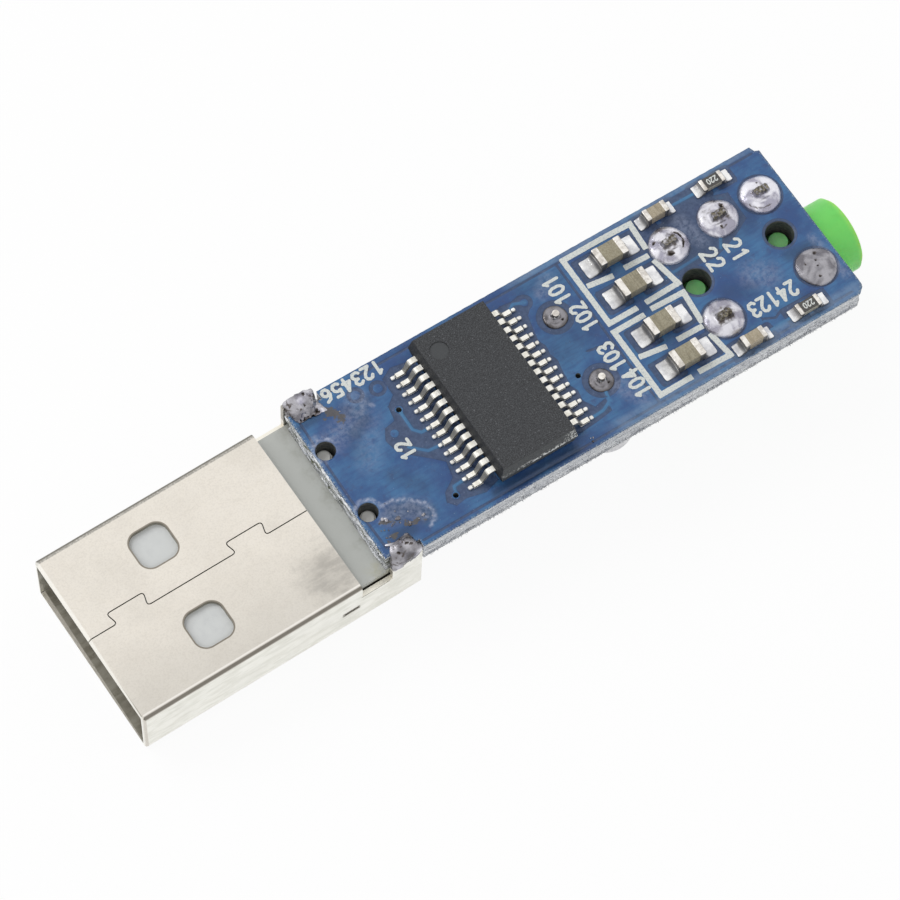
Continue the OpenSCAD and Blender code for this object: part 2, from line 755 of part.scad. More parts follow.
seat() under_board(lower_caps[6]) chip_part(size_0603_cap, "tan");  // lower_cap_7
seat() under_board(lower_caps[7]) chip_part(size_0603_cap, "tan");  // lower_cap_8
seat() lower_pads();
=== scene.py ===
import math
import random

import bmesh
import bpy
import numpy as np
from mathutils import Matrix, Vector, noise
from mathutils.geometry import delaunay_2d_cdt


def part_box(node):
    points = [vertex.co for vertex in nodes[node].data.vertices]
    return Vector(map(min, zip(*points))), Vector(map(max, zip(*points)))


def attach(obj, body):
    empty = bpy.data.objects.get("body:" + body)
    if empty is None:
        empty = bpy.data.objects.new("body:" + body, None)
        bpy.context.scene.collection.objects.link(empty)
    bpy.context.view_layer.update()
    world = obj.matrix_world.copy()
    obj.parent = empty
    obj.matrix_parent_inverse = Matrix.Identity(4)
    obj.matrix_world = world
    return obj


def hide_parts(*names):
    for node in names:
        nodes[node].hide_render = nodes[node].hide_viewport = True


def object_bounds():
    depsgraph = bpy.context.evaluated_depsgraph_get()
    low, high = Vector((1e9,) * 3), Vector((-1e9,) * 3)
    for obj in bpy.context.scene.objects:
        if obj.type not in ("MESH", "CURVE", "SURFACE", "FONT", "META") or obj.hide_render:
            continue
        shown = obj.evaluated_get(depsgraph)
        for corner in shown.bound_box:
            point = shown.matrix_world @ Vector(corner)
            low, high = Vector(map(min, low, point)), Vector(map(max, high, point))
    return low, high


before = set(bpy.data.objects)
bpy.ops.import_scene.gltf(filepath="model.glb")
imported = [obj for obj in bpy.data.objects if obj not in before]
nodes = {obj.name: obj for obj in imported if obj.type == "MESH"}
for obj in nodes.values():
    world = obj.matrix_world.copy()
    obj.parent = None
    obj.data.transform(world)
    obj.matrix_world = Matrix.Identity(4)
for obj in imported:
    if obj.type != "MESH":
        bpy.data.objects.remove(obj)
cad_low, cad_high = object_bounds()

# Lengths are millimetres in board space: x and y are 0 at the middle of the chip, and z is 0 on
# the board's upper face. ORIGIN takes them to the row frame, which is in metres.
MM = 0.001
BOARD_TO_JACK = 23.15
board_low, board_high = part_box("circuit_board")
ORIGIN = Vector((board_high.x - BOARD_TO_JACK * MM, (board_low.y + board_high.y) / 2, board_high.z))
random.seed(4)


# ---------------------------------------------------------------- meshes

def in_frame(p):
    return ORIGIN + Vector(p) * MM


def seat_piece(name, mesh, materials, replaces=(), smooth=True):
    """Makes an object of a mesh that is already in the row frame, and rides it on the body."""
    obj = bpy.data.objects.new(name, mesh)
    bpy.context.scene.collection.objects.link(obj)
    for m in materials:
        mesh.materials.append(m)
    if smooth:
        mesh.shade_smooth()
    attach(obj, "root")
    if replaces:
        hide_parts(*replaces)
    return obj


def mesh_of(name, points, faces, kinds=None, attributes=None):
    mesh = bpy.data.meshes.new(name)
    mesh.from_pydata([in_frame(p) for p in points], [], [tuple(map(int, f)) for f in faces])
    if kinds is not None:
        mesh.polygons.foreach_set("material_index", [int(k) for k in kinds])
    for key, values in (attributes or {}).items():
        layer = mesh.attributes.new(key, "FLOAT", "POINT")
        layer.data.foreach_set("value", np.asarray(values, np.float32))
    mesh.validate()
    mesh.update()
    return mesh


class Shape:
    """Points and faces that several small forms are added to before they become one mesh."""

    def __init__(self):
        self.points, self.faces, self.kinds = [], [], []
        self.values = {}

    def add(self, points, faces, kind=0, **values):
        first = len(self.points)
        self.points += [tuple(p) for p in points]
        self.faces += [tuple(i + first for i in f) for f in faces]
        self.kinds += [kind] * len(faces)
        for key in set(self.values) | set(values):
            have = self.values.setdefault(key, [0.0] * first)
            new = values.get(key, 0.0)
            have += list(new) if hasattr(new, "__len__") else [new] * len(points)
        return self

    def moved(self, change):
        self.points = [tuple(change(Vector(p))) for p in self.points]
        return self

    def flipped(self):
        self.faces = [f[::-1] for f in self.faces]
        return self

    def piece(self, name, materials, slot, replaces=(), smooth=True):
        mesh = mesh_of(name, self.points, self.faces, self.kinds, self.values)
        return seat_piece(name, mesh, materials, replaces, smooth)


def rounded_box(size, radius, segments=3):
    """Points and faces of a box with rounded edges, centred on its own origin."""
    bm = bmesh.new()
    bmesh.ops.create_cube(bm, size=1.0, matrix=Matrix.Diagonal((*size, 1.0)))
    bmesh.ops.bevel(bm, geom=bm.edges[:], offset=radius, segments=segments, profile=0.5, affect="EDGES")
    points = [v.co.copy() for v in bm.verts]
    faces = [[v.index for v in f.verts] for f in bm.faces]
    bm.free()
    return points, faces


def ruffle(p, size, depth, seed=0.0):
    """Smooth random height between -depth and depth, with features of about the given size."""
    return depth * noise.noise(Vector(p) / size + Vector((seed, 3.1 * seed, 7.7 * seed)))


# ---------------------------------------------------------------- materials

def linear(rgb):
    """Linear colour of 0-255 display values."""
    values = [c / 255 for c in rgb]
    return tuple(v / 12.92 if v <= 0.04045 else ((v + 0.055) / 1.055) ** 2.4 for v in values) + (1.0,)


class Shade:
    """One material, with short calls for the nodes that this script uses. Sizes are millimetres."""

    def __init__(self, name, color, roughness=0.5, metallic=0.0, **surface):
        self.material = bpy.data.materials.new(name)
        self.material.use_nodes = True
        self.tree = self.material.node_tree
        self.out = self.tree.nodes["Principled BSDF"]
        self.out.inputs["Base Color"].default_value = linear(color)
        self.out.inputs["Roughness"].default_value = roughness
        self.out.inputs["Metallic"].default_value = metallic
        for key, value in surface.items():
            self.out.inputs[key.replace("_", " ")].default_value = value
        self.where = self.tree.nodes.new("ShaderNodeTexCoord").outputs
        scaled = self.vector("MULTIPLY", self.where["Object"], (1 / MM, 1 / MM, 1 / MM))
        self.mm = self.vector("SUBTRACT", scaled, tuple(ORIGIN / MM))

    def put(self, value, socket):
        if isinstance(value, bpy.types.NodeSocket):
            self.tree.links.new(value, socket)
        else:
            socket.default_value = value

    def vector(self, operation, a, b=(0, 0, 0)):
        node = self.tree.nodes.new("ShaderNodeVectorMath")
        node.operation = operation
        self.put(a, node.inputs[0])
        self.put(b, node.inputs[1])
        return node.outputs["Value" if operation in ("DISTANCE", "LENGTH", "DOT_PRODUCT") else "Vector"]

    def math(self, operation, a, b=0.0, c=0.0):
        node = self.tree.nodes.new("ShaderNodeMath")
        node.operation = operation
        for value, socket in zip((a, b, c), node.inputs):
            self.put(value, socket)
        return node.outputs[0]

    def noise(self, size, detail=3.0, rough=0.55, stretch=(1, 1, 1), distortion=0.0):
        node = self.tree.nodes.new("ShaderNodeTexNoise")
        node.inputs["Scale"].default_value = 1 / size
        node.inputs["Detail"].default_value = detail
        node.inputs["Roughness"].default_value = rough
        node.inputs["Distortion"].default_value = distortion
        place = self.mm if stretch == (1, 1, 1) else self.vector("MULTIPLY", self.mm, stretch)
        self.put(place, node.inputs["Vector"])
        return node.outputs["Fac"]

    def span(self, value, low, high, start=0.0, end=1.0):
        node = self.tree.nodes.new("ShaderNodeMapRange")
        node.interpolation_type = "SMOOTHSTEP"
        keys = ("Value", "From Min", "From Max", "To Min", "To Max")
        for key, v in zip(keys, (value, low, high, start, end)):
            self.put(v, node.inputs[key])
        return node.outputs["Result"]

    def attribute(self, name):
        node = self.tree.nodes.new("ShaderNodeAttribute")
        node.attribute_name = name
        return node.outputs["Fac"]

    def mix(self, share, a, b):
        node = self.tree.nodes.new("ShaderNodeMix")
        node.data_type = "RGBA"
        for value, key in ((share, 0), (a, 6), (b, 7)):
            if isinstance(value, tuple) and len(value) == 3:
                value = linear(value)
            self.put(value, node.inputs[key])
        return node.outputs[2]

    def color(self, value):
        """Sets the ground that every later paint() goes over."""
        self.base = value
        self.put(value, self.out.inputs["Base Color"])
        return self

    def paint(self, share, value):
        return self.color(self.mix(share, self.base, value))

    def roughness(self, value):
        self.put(value, self.out.inputs["Roughness"])
        return self

    def metallic(self, value):
        self.put(value, self.out.inputs["Metallic"])
        return self

    def bump(self, *layers):
        """Each layer is a height from 0 to 1 and its depth in millimetres."""
        normal = None
        for height, depth in layers:
            node = self.tree.nodes.new("ShaderNodeBump")
            node.inputs["Distance"].default_value = depth * MM
            self.put(height, node.inputs["Height"])
            if normal:
                self.put(normal, node.inputs["Normal"])
            normal = node.outputs["Normal"]
        self.put(normal, self.out.inputs["Normal"])
        return self

    def axes(self, vector):
        node = self.tree.nodes.new("ShaderNodeSeparateXYZ")
        self.put(vector, node.inputs[0])
        return node.outputs

    def join(self, x, y, z):
        node = self.tree.nodes.new("ShaderNodeCombineXYZ")
        for value, socket in zip((x, y, z), node.inputs):
            self.put(value, socket)
        return node.outputs[0]

    def within(self, value, low, high, soft=0.02):
        """1 between low and high, with soft edges."""
        above = self.span(value, low - soft, low + soft)
        return self.math("MULTIPLY", above, self.span(value, high - soft, high + soft, 1, 0))

    def times(self, *values):
        total = values[0]
        for value in values[1:]:
            total = self.math("MULTIPLY", total, value)
        return total


def mask_material():
    """Blue solder mask. The copper under it, flux haze, stains, scorched spots and a painted shadow beside the
    chip's near end come from the mesh.
    """
    s = Shade("solder_mask", (54, 98, 146), 0.36, Coat_Weight=0.12, Coat_Roughness=0.25)
    keys = ("copper", "haze", "scorch", "stain", "trace", "chips")
    copper, haze, scorch, stain, trace, chips = map(s.attribute, keys)
    broad, middle, fine = s.noise(3.4, 5, 0.62), s.noise(0.9, 5, 0.7), s.noise(0.3, 4, 0.65)
    brushed = s.noise(0.22, 3, 0.55, stretch=(0.16, 1.0, 1))
    over_copper = s.mix(s.span(broad, 0.36, 0.64), (38, 71, 121), (58, 105, 149))
    over_copper = s.mix(s.span(brushed, 0.42, 0.7, 0, 0.45), over_copper, (38, 68, 118))
    over_bare = s.mix(s.span(fine, 0.35, 0.65), (47, 65, 97), (64, 81, 112))
    s.color(s.mix(copper, over_bare, over_copper))
    s.paint(s.math("MULTIPLY", s.within(copper, 0.3, 0.7, 0.2), 0.75), (34, 47, 84))
    s.paint(s.math("MULTIPLY", trace, 0.6), (66, 120, 160))
    s.paint(s.span(middle, 0.55, 0.7, 0, 0.5), (50, 60, 102))
    s.paint(s.span(middle, 0.28, 0.42, 0.4, 0), (40, 96, 130))
    # Stains, and the painted shadow of the chip beside its near end
    s.paint(s.times(stain, s.span(middle, 0.2, 0.6, 0.6, 1)), (26, 52, 82))
    # Pale rubbed margins beside the long edges
    x, y, z = s.axes(s.mm)
    margin = s.math("MAXIMUM", s.span(y, -5.3, -4.9, 1, 0), s.span(y, 5.5, 5.7))
    s.paint(s.times(margin, s.span(x, 4, 6), s.span(middle, 0.3, 0.6, 0.15, 0.45)), (124, 146, 172))
    s.paint(s.times(haze, s.span(fine, 0.28, 0.66)), (156, 164, 186))
    ragged = s.math("ADD", scorch, s.span(s.noise(0.45, 4, 0.7), 0.3, 0.7, -0.45, 0.45))
    s.paint(s.span(ragged, 0.5, 0.75, 0, 0.85), s.mix(fine, (60, 55, 48), (97, 91, 82)))
    s.paint(s.times(chips, s.span(s.noise(0.1, 3, 0.6), 0.5, 0.56), 0.8), (176, 190, 196))
    s.paint(s.span(s.noise(0.12, 2, 0.6), 0.7, 0.76, 0, 0.4), (160, 172, 196))
    s.roughness(s.span(s.noise(0.6, 4, 0.6), 0.3, 0.75, 0.28, 0.52))
    return s.bump((fine, 0.014), (brushed, 0.012), (middle, 0.02)).material


def fibre_material():
    """Sawn edge of the glass-fibre board: pale fuzzy layers with dark breaks."""
    s = Shade("sawn_fibre", (222, 226, 228), 0.75)
    layers = s.noise(0.45, 5, 0.75, stretch=(0.35, 0.35, 5.0))
    tufts = s.noise(0.14, 4, 0.7, stretch=(1, 1, 0.5))
    s.color(s.mix(s.span(layers, 0.36, 0.62), (186, 190, 198), (246, 248, 250)))
    s.paint(s.span(tufts, 0.56, 0.72, 0, 0.5), (148, 150, 152))
    soiling = s.noise(0.5, 4, 0.7, stretch=(0.5, 0.5, 2.5))
    soiled = s.times(s.attribute("plug_end"), s.span(soiling, 0.42, 0.6))
    s.paint(soiled, (110, 114, 96))
    return s.bump((layers, 0.09), (tufts, 0.07)).material


def hole_material():
    """Drilled wall of a hole, painted dark grey-brown as the shade inside it."""
    s = Shade("hole_wall", (44, 40, 36), 0.6)
    rings = s.noise(0.3, 4, 0.65, stretch=(1, 1, 3))
    s.color(s.mix(s.span(rings, 0.35, 0.7), (50, 56, 58), (96, 96, 90)))
    return s.bump((rings, 0.03)).material


# The plug is skewed on the board: slope and shift of its middle line
PLUG_SLOPE, PLUG_SHIFT = 0.0192, 0.3
# Its mouth in x, and its roof's two faces and its side arms' top in z
MOUTH, ROOF, ROOF_UNDER, ARM_TOP = -27.8, -0.87, -1.16, -2.13
# A window: x, distance from the middle line, and half the straight part of a side
WINDOW_X, WINDOW_OFF, WINDOW_FLAT = -21.65, 3.0, 0.5
SMUDGE = (-13.7, -4.1, 0)


def from_plug_middle(s, x, y):
    """Distance from the plug's own middle line."""
    return s.math("ABSOLUTE", s.math("SUBTRACT", y, s.math("MULTIPLY_ADD", x, PLUG_SLOPE, PLUG_SHIFT)))


def steel_material():
    """Nickel-plated steel sheet of the plug: warm, satin and lightly scuffed, with painted reflections along its
    folds, painted highlights on its cut edges and painted shade in its windows, slits and inside.
    """
    s = Shade("plug_steel", (218, 212, 202), 0.4, 1.0)
    grain, cloud = s.noise(0.1, 3, 0.6), s.noise(3.5, 4, 0.6)
    scuffs = s.noise(0.8, 4, 0.6, stretch=(0.5, 1.8, 1.8))
    x, y, z = s.axes(s.mm)
    half = from_plug_middle(s, x, y)
    normal = s.axes(s.where["Normal"])
    facing_y, facing_z = s.math("ABSOLUTE", normal[1]), s.math("ABSOLUTE", normal[2])
    on_wall = s.span(facing_y, 0.9, 0.98)

    light = s.mix(s.span(y, -5.8, -0.5), (219, 214, 205), (235, 229, 219))
    s.color(s.mix(s.span(cloud, 0.3, 0.62, 0.18, 0), light, (194, 188, 178)))
    s.paint(s.span(grain, 0.4, 0.7, 0, 0.12), (150, 143, 132))
    s.paint(s.span(scuffs, 0.62, 0.78, 0, 0.18), (176, 170, 160))
    # A rubbed grey smudge that runs aslant to the roof's rear corner
    aside = s.vector("MULTIPLY", s.vector("SUBTRACT", s.mm, SMUDGE), (0.42, 0.5, 0))
    to_smudge = s.math("ADD", s.vector("LENGTH", aside), s.span(s.noise(1.1, 4, 0.65), 0.25, 0.75, -0.25, 0.25))
    rubbed = s.times(s.span(to_smudge, 0.2, 1.3, 1, 0), s.span(scuffs, 0.3, 0.6, 0.5, 1), 0.56)
    s.paint(rubbed, (146, 143, 138))
    # Painted light: the upright walls are lighter than the roof
    wall_painted_light = s.mix(s.span(scuffs, 0.4, 0.66), (246, 245, 238), (232, 231, 222))
    s.paint(on_wall, s.mix(s.span(cloud, 0.5, 0.66, 0, 0.3), wall_painted_light, (216, 215, 206)))
    # Folds, with a painted dark reflection low on the bend and a painted highlight next to the roof
    folded = s.span(facing_z, 0.2, 0.35)
    s.paint(s.times(s.within(facing_y, 0.5, 0.9, 0.08), folded, 0.8), (92, 86, 76))
    s.paint(s.times(s.within(facing_y, 0.16, 0.4, 0.08), folded, 0.7), (250, 246, 240))
    far_rim = s.times(s.span(half, 5.58, 5.68), s.span(y, 1, 2), s.span(z, -1.3, -1.1))
    s.paint(s.times(far_rim, s.span(grain, 0.3, 0.6, 0.4, 0.75)), (122, 120, 112))
    # Cut edges of the sheet in the windows, the seam and the end of the roof, painted dark as shade
    cut_edge = s.times(s.span(facing_z, 0.25, 0.45, 1, 0), s.within(z, ROOF_UNDER, ROOF, 0.01),
                       s.span(half, 5.5, 5.6, 1, 0), s.span(x, MOUTH, MOUTH + 0.1))
    s.paint(cut_edge, (104, 97, 82))
    # Painted shade in a ring round the two windows
    along = s.math("ADD", s.math("MULTIPLY_ADD", y, PLUG_SLOPE, -WINDOW_X), x)
    off = s.vector("ABSOLUTE", s.join(along, s.math("SUBTRACT", half, WINDOW_OFF), 0.0))
    corner = s.vector("MAXIMUM", s.vector("SUBTRACT", off, (WINDOW_FLAT, WINDOW_FLAT, 0)))
    rim = s.times(s.within(s.vector("LENGTH", corner), 0.74, 0.84, 0.02), s.span(z, ROOF - 0.03, ROOF), 0.8)
    s.paint(rim, (108, 100, 86))
    # A painted highlight on the top edge of the side arms, a dark line under it, and painted shade in the slit in
    # each arm
    s.paint(s.times(s.within(z, ARM_TOP, ARM_TOP + 0.06, 0.01), s.span(normal[2], 0.8, 0.95)), (250, 246, 234))
    line_under_edge = s.times(s.within(z, ARM_TOP - 0.07, ARM_TOP, 0.01), on_wall, s.within(x, -12.9, -10.9))
    s.paint(s.times(line_under_edge, s.span(grain, 0.3, 0.5, 0.5, 1)), (118, 110, 92))
    slit_shade = s.times(s.within(x, -14.2, -13.0, 0.05), s.within(z, -3.5, -3.08, 0.05), on_wall)
    s.paint(s.times(slit_shade, s.span(grain, 0.3, 0.55, 0.35, 0.8)), (104, 99, 88))
    # A painted highlight on the front end of the sheet, and painted shade inside the shell
    s.paint(s.times(s.span(x, MOUTH - 0.06, MOUTH, 1, 0), s.span(normal[0], -0.9, -0.5, 1, 0)), (253, 252, 246))
    inside = s.times(s.span(half, 5.66, 5.7, 1, 0), s.within(z, -5.27, -0.93), s.span(x, MOUTH - 0.06, MOUTH))
    s.paint(inside, s.mix(s.span(scuffs, 0.3, 0.7), (124, 119, 106), (156, 152, 140)))

    s.metallic(s.span(inside, 0, 1, 1.0, 0.3))
    s.roughness(s.span(s.noise(0.8, 4, 0.65), 0.3, 0.7, 0.34, 0.5))
    return s.bump((grain, 0.008), (scuffs, 0.006)).material


def solder_material():
    """Old hand-made solder: bright domes with lilac oxide, swirls, dark flux, black pits and painted shade at the
    rims of the crystal joints.
    """
    s = Shade("hand_solder", (206, 204, 210), 0.28, 0.85)
    patch, streak = s.noise(1.0, 2, 0.5, distortion=0.6), s.noise(0.6, 3, 0.5, distortion=1.8)
    pits = s.noise(0.13, 3, 0.6)
    soot, dull = s.attribute("soot"), s.attribute("dull")
    s.color(s.mix(s.span(patch, 0.38, 0.58), (169, 167, 182), (236, 235, 242)))
    swirl = s.times(s.within(streak, 0.56, 0.59, 0.02), s.span(patch, 0.4, 0.6, 1, 0.3), 0.55)
    s.paint(swirl, (124, 120, 128))
    clouded = s.span(s.math("MULTIPLY_ADD", pits, 0.3, patch), 0.5, 0.8)
    s.paint(dull, s.mix(clouded, (95, 93, 95), (150, 148, 153)))
    s.paint(s.span(pits, 0.7, 0.76, 0, 0.6), (70, 64, 64))
    # Soot darkens flux, pits and veins, and paints shade at the rims of the crystal joints
    s.paint(s.span(s.math("MULTIPLY_ADD", pits, 0.6, soot), 0.45, 0.9), (94, 88, 86))
    s.paint(s.span(soot, 0.72, 1.0), (44, 39, 35))
    # A covered pin: rough and brown, or bright on the dull joints
    rough_pin = s.mix(s.span(pits, 0.45, 0.66), (72, 67, 58), (150, 143, 124))
    s.paint(s.attribute("nub"), s.mix(s.span(dull, 0.4, 0.7), rough_pin, (244, 241, 234)))
    s.roughness(s.span(patch, 0.3, 0.7, 0.22, 0.42))
    return s.bump((patch, 0.03), (streak, 0.02), (pits, 0.014)).material


def tin_material(name, light, dark, size=0.35, flecks=0.6, metal=0.9, upright_shade=0.85, level=(0.3, 0.85), shaded=0.0):
    """Tinned metal of leads, pads and part ends. Faces that stand upright are painted darker as shade, by
    the share upright_shade, and so is the root of a pad, by the share shaded."""
    s = Shade(name, light, 0.3, metal)
    patch, fine = s.noise(size, 4, 0.6), s.noise(0.12, 3, 0.6)
    s.color(s.mix(s.span(patch, 0.38, 0.66), light, dark))
    s.paint(s.span(fine, 0.62, 0.74, 0, flecks), tuple(c * 0.6 for c in dark))
    s.paint(s.times(s.attribute("shade"), s.span(patch, 0.3, 0.6, 0.6, 1), shaded), (126, 123, 120))
    # Painted shade on upright faces
    up = s.math("ABSOLUTE", s.axes(s.where["Normal"])[2])
    s.paint(s.span(up, *level, upright_shade, 0), tuple(c * 0.5 for c in dark))
    s.roughness(s.span(patch, 0.3, 0.7, 0.26, 0.46))
    return s.bump((patch, 0.03), (fine, 0.008)).material


def plastic_material(name, light, dark, grain_size, grain_depth, roughness, **surface):
    s = Shade(name, light, roughness, **surface)
    grain, cloud = s.noise(grain_size, 3, 0.6), s.noise(2.4, 4, 0.6)
    s.color(s.mix(s.span(cloud, 0.3, 0.7), s.mix(s.span(grain, 0.35, 0.7), light, dark), light))
    s.roughness(s.span(grain, 0.3, 0.7, roughness - 0.06, roughness + 0.08))
    return s.bump((grain, grain_depth))


def insert_material():
    """Pale grey moulding, darker towards the board, with soiled patches there."""
    s = plastic_material("insert_plastic", (202, 204, 203), (194, 196, 196), 0.5, 0.01, 0.5)
    x, y, z = s.axes(s.mm)
    # Darker towards the board
    s.paint(s.span(x, -13.1, -12.7), (180, 182, 178))
    near_corner = s.times(s.span(y, -5.4, -4.0, 1, 0), s.span(x, -12.4, -11.2), 0.6)
    s.paint(s.times(near_corner, s.span(s.noise(0.6, 4, 0.7), 0.35, 0.65)), (170, 166, 132))
    grime = s.times(s.span(x, -12.2, -10.9), s.span(s.noise(0.9, 4, 0.65), 0.4, 0.75, 0, 0.7))
    s.paint(grime, (142, 142, 132))
    # The slit beside the sheet is painted dark as shade, and the tops of the two pegs in their holes get a painted
    # highlight
    half = from_plug_middle(s, x, y)
    slit_shade = s.times(s.span(half, 5.54, 5.58), s.span(x, -13.0, -12.9), s.span(z, -2.02, -1.96, 1, 0))
    s.paint(slit_shade, (52, 48, 40))
    return s.paint(s.within(z, -1.1, -0.9, 0.02), (244, 244, 240)).material


def jack_material():
    """Bright green moulding, painted dark as shade where it is seen through the board's holes."""
    s = plastic_material("jack_plastic", (114, 212, 100), (102, 200, 90), 0.8, 0.006, 0.34,
                         Subsurface_Weight=0.3, Subsurface_Scale=0.0008)
    x, y, z = s.axes(s.mm)
    # A painted highlight at the jack's outer end
    s.paint(s.span(x, 25.5, 26.0, 0, 0.7), (150, 226, 106))
    # Painted shade where the moulding is seen through the board's holes
    buried = s.times(s.span(z, -1.74, -1.66), s.span(s.noise(0.4, 3, 0.6), 0.3, 0.7, 0.8, 1))
    return s.paint(buried, s.mix(s.span(z, -1.4, -1.0), (24, 74, 30), (98, 160, 98))).material


def chip_material():
    """Matt black moulding with pale filler specks, a smooth dimple and a chipped parting line."""
    s = Shade("chip_moulding", (50, 51, 54), 0.62)
    fine, speck = s.noise(0.07, 3, 0.7), s.noise(0.13, 2, 0.5)
    x, y, z = s.axes(s.mm)
    s.color(s.mix(s.span(fine, 0.38, 0.66), (30, 31, 33), (70, 72, 75)))
    s.paint(s.span(speck, 0.62, 0.74, 0, 0.6), (116, 118, 122))
    to_dimple = s.vector("DISTANCE", s.vector("MULTIPLY", s.mm, (1, 1, 0)), (*DIMPLE[:2], 0))
    s.paint(s.span(to_dimple, DIMPLE[2] - 0.05, DIMPLE[2], 0.85, 0), (64, 66, 68))
    normal = s.axes(s.where["Normal"])
    facing_end, near_end = s.span(normal[1], -0.9, -0.4, 1, 0), s.span(y, -4.98, -4.94, 1, 0)
    # Painted shade on the faces towards -x, and painted light on the near end face
    s.paint(s.span(normal[0], -0.9, -0.4, 0.75, 0), (20, 21, 23))
    s.paint(s.times(facing_end, s.span(fine, 0.3, 0.7, 0.3, 0.8)), (80, 83, 84))
    under_top = s.within(z, CHIP_TOP - 0.1, CHIP_TOP - 0.03, 0.02)
    s.paint(s.times(under_top, s.span(s.math("ABSOLUTE", normal[2]), 0.4, 0.8, 1, 0), 0.7), (24, 25, 27))
    # Pale nicks along the end's parting line, and specks in its corner
    chipped = s.span(s.noise(0.22, 3, 0.7), 0.5, 0.56)
    nicks = s.times(near_end, s.within(z, 0.92, 1.2, 0.08), chipped, s.span(x, -2.4, 0.2, 0.3, 1))
    corner = s.times(near_end, facing_end, s.span(x, 1.5, 2.3), s.span(speck, 0.52, 0.6), s.span(z, 0.9, 1.0), 0.8)
    s.paint(s.math("MAXIMUM", nicks, corner), (206, 208, 206))
    return s.bump((fine, 0.02), (speck, 0.01)).material


def ceramic_material(name, light, dark):
    s = Shade(name, light, 0.42, Coat_Weight=0.15)
    fine, layers = s.noise(0.1, 4, 0.65), s.noise(0.3, 3, 0.6, stretch=(1, 0.3, 2))
    s.color(s.mix(s.span(fine, 0.35, 0.7), light, dark))
    s.paint(s.span(layers, 0.5, 0.7, 0, 0.5), tuple(c * 0.86 for c in dark))
    streaks = s.noise(0.11, 3, 0.6, stretch=(1, 0.12, 0.6))
    s.paint(s.span(streaks, 0.5, 0.7, 0, 0.6), tuple(c * 0.78 for c in dark))
    return s.bump((fine, 0.012)).material


def print_material():
    """White legend ink, slightly worn and grey."""
    s = Shade("legend_ink", (208, 210, 205), 0.6)
    fine = s.noise(0.1, 4, 0.7)
    s.color(s.mix(s.span(fine, 0.46, 0.75), (210, 213, 208), (160, 168, 180)))
    return s.bump((fine, 0.012)).material


# The dimple at pin 1: place and radius
DIMPLE = (-1.48, 3.54, 0.6)
CHIP_TOP = (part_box("chip_body")[1].z - ORIGIN.z) / MM
MASK, FIBRE, WALL, STEEL = mask_material(), fibre_material(), hole_material(), steel_material()
SOLDER, CHIP, INK = solder_material(), chip_material(), print_material()
LEAD = tin_material("lead_tin", (255, 253, 246), (240, 236, 224), 0.35, 0.12, 0.45, 0.9, (0.6, 0.92))
TOE = tin_material("toe_solder", (252, 251, 246), (226, 224, 218), 0.3, 0.1, 0.5, 0.25)
PAD = tin_material("pad_tin", (246, 246, 246), (206, 206, 210), 0.8, 0.25, 0.6, shaded=1.0)
END = tin_material("part_end", (244, 240, 234), (204, 198, 190))
INSERT, JACK = insert_material(), jack_material()
GOLD = plastic_material("contact_gold", (226, 190, 120), (210, 168, 96), 0.3, 0.004, 0.28, Metallic=1.0).material
CAN = plastic_material("can_metal", (206, 206, 208), (188, 188, 192), 0.5, 0.006, 0.3, Metallic=1.0).material
KHAKI = ceramic_material("cap_ceramic", (154, 148, 128), (130, 122, 100))
TAN = ceramic_material("small_cap_ceramic", (170, 160, 140), (150, 138, 116))
GLAZE = ceramic_material("resistor_glaze", (58, 57, 56), (76, 74, 72))
ALUMINA = ceramic_material("resistor_ceramic", (178, 174, 160), (150, 146, 130))


# ---------------------------------------------------------------- distances in the plane

def path_distance(points, path):
    """Distance of each point to a polyline."""
    best = np.full(len(points), 1e9)
    for a, b in zip(path[:-1], path[1:]):
        a, d = np.array(a), np.subtract(b, a)
        t = np.clip(((points - a) @ d) / (d @ d), 0, 1)
        best = np.minimum(best, np.linalg.norm(points - a - t[:, None] * d, axis=1))
    return best


def loop_distance(points, loop):
    """Signed distance to a closed outline, negative inside."""
    closed = list(loop) + [loop[0]]
    inside = np.zeros(len(points), bool)
    x, y = points[:, 0], points[:, 1]
    for (x0, y0), (x1, y1) in zip(closed[:-1], closed[1:]):
        if y0 != y1:
            inside ^= ((y0 > y) != (y1 > y)) & (x < (x1 - x0) * (y - y0) / (y1 - y0) + x0)
    return np.where(inside, -1, 1) * path_distance(points, closed)


def disc_distance(points, disc):
    return np.hypot(points[:, 0] - disc[0], points[:, 1] - disc[1]) - disc[2]


def box_loop(x, y, w, h):
    return [(x - w / 2, y - h / 2), (x + w / 2, y - h / 2), (x + w / 2, y + h / 2), (x - w / 2, y + h / 2)]


def resampled(loop, step):
    """The same closed outline with points no further apart than step."""
    out = []
    for a, b in zip(loop, loop[1:] + loop[:1]):
        n = max(1, round(math.dist(a, b) / step))
        out += [(a[0] + (b[0] - a[0]) * k / n, a[1] + (b[1] - a[1]) * k / n) for k in range(n)]
    return out


def circle_loop(x, y, r, n=36):
    return [(x + r * math.cos(math.tau * k / n), y + r * math.sin(math.tau * k / n)) for k in range(n)]


# ---------------------------------------------------------------- circuit board

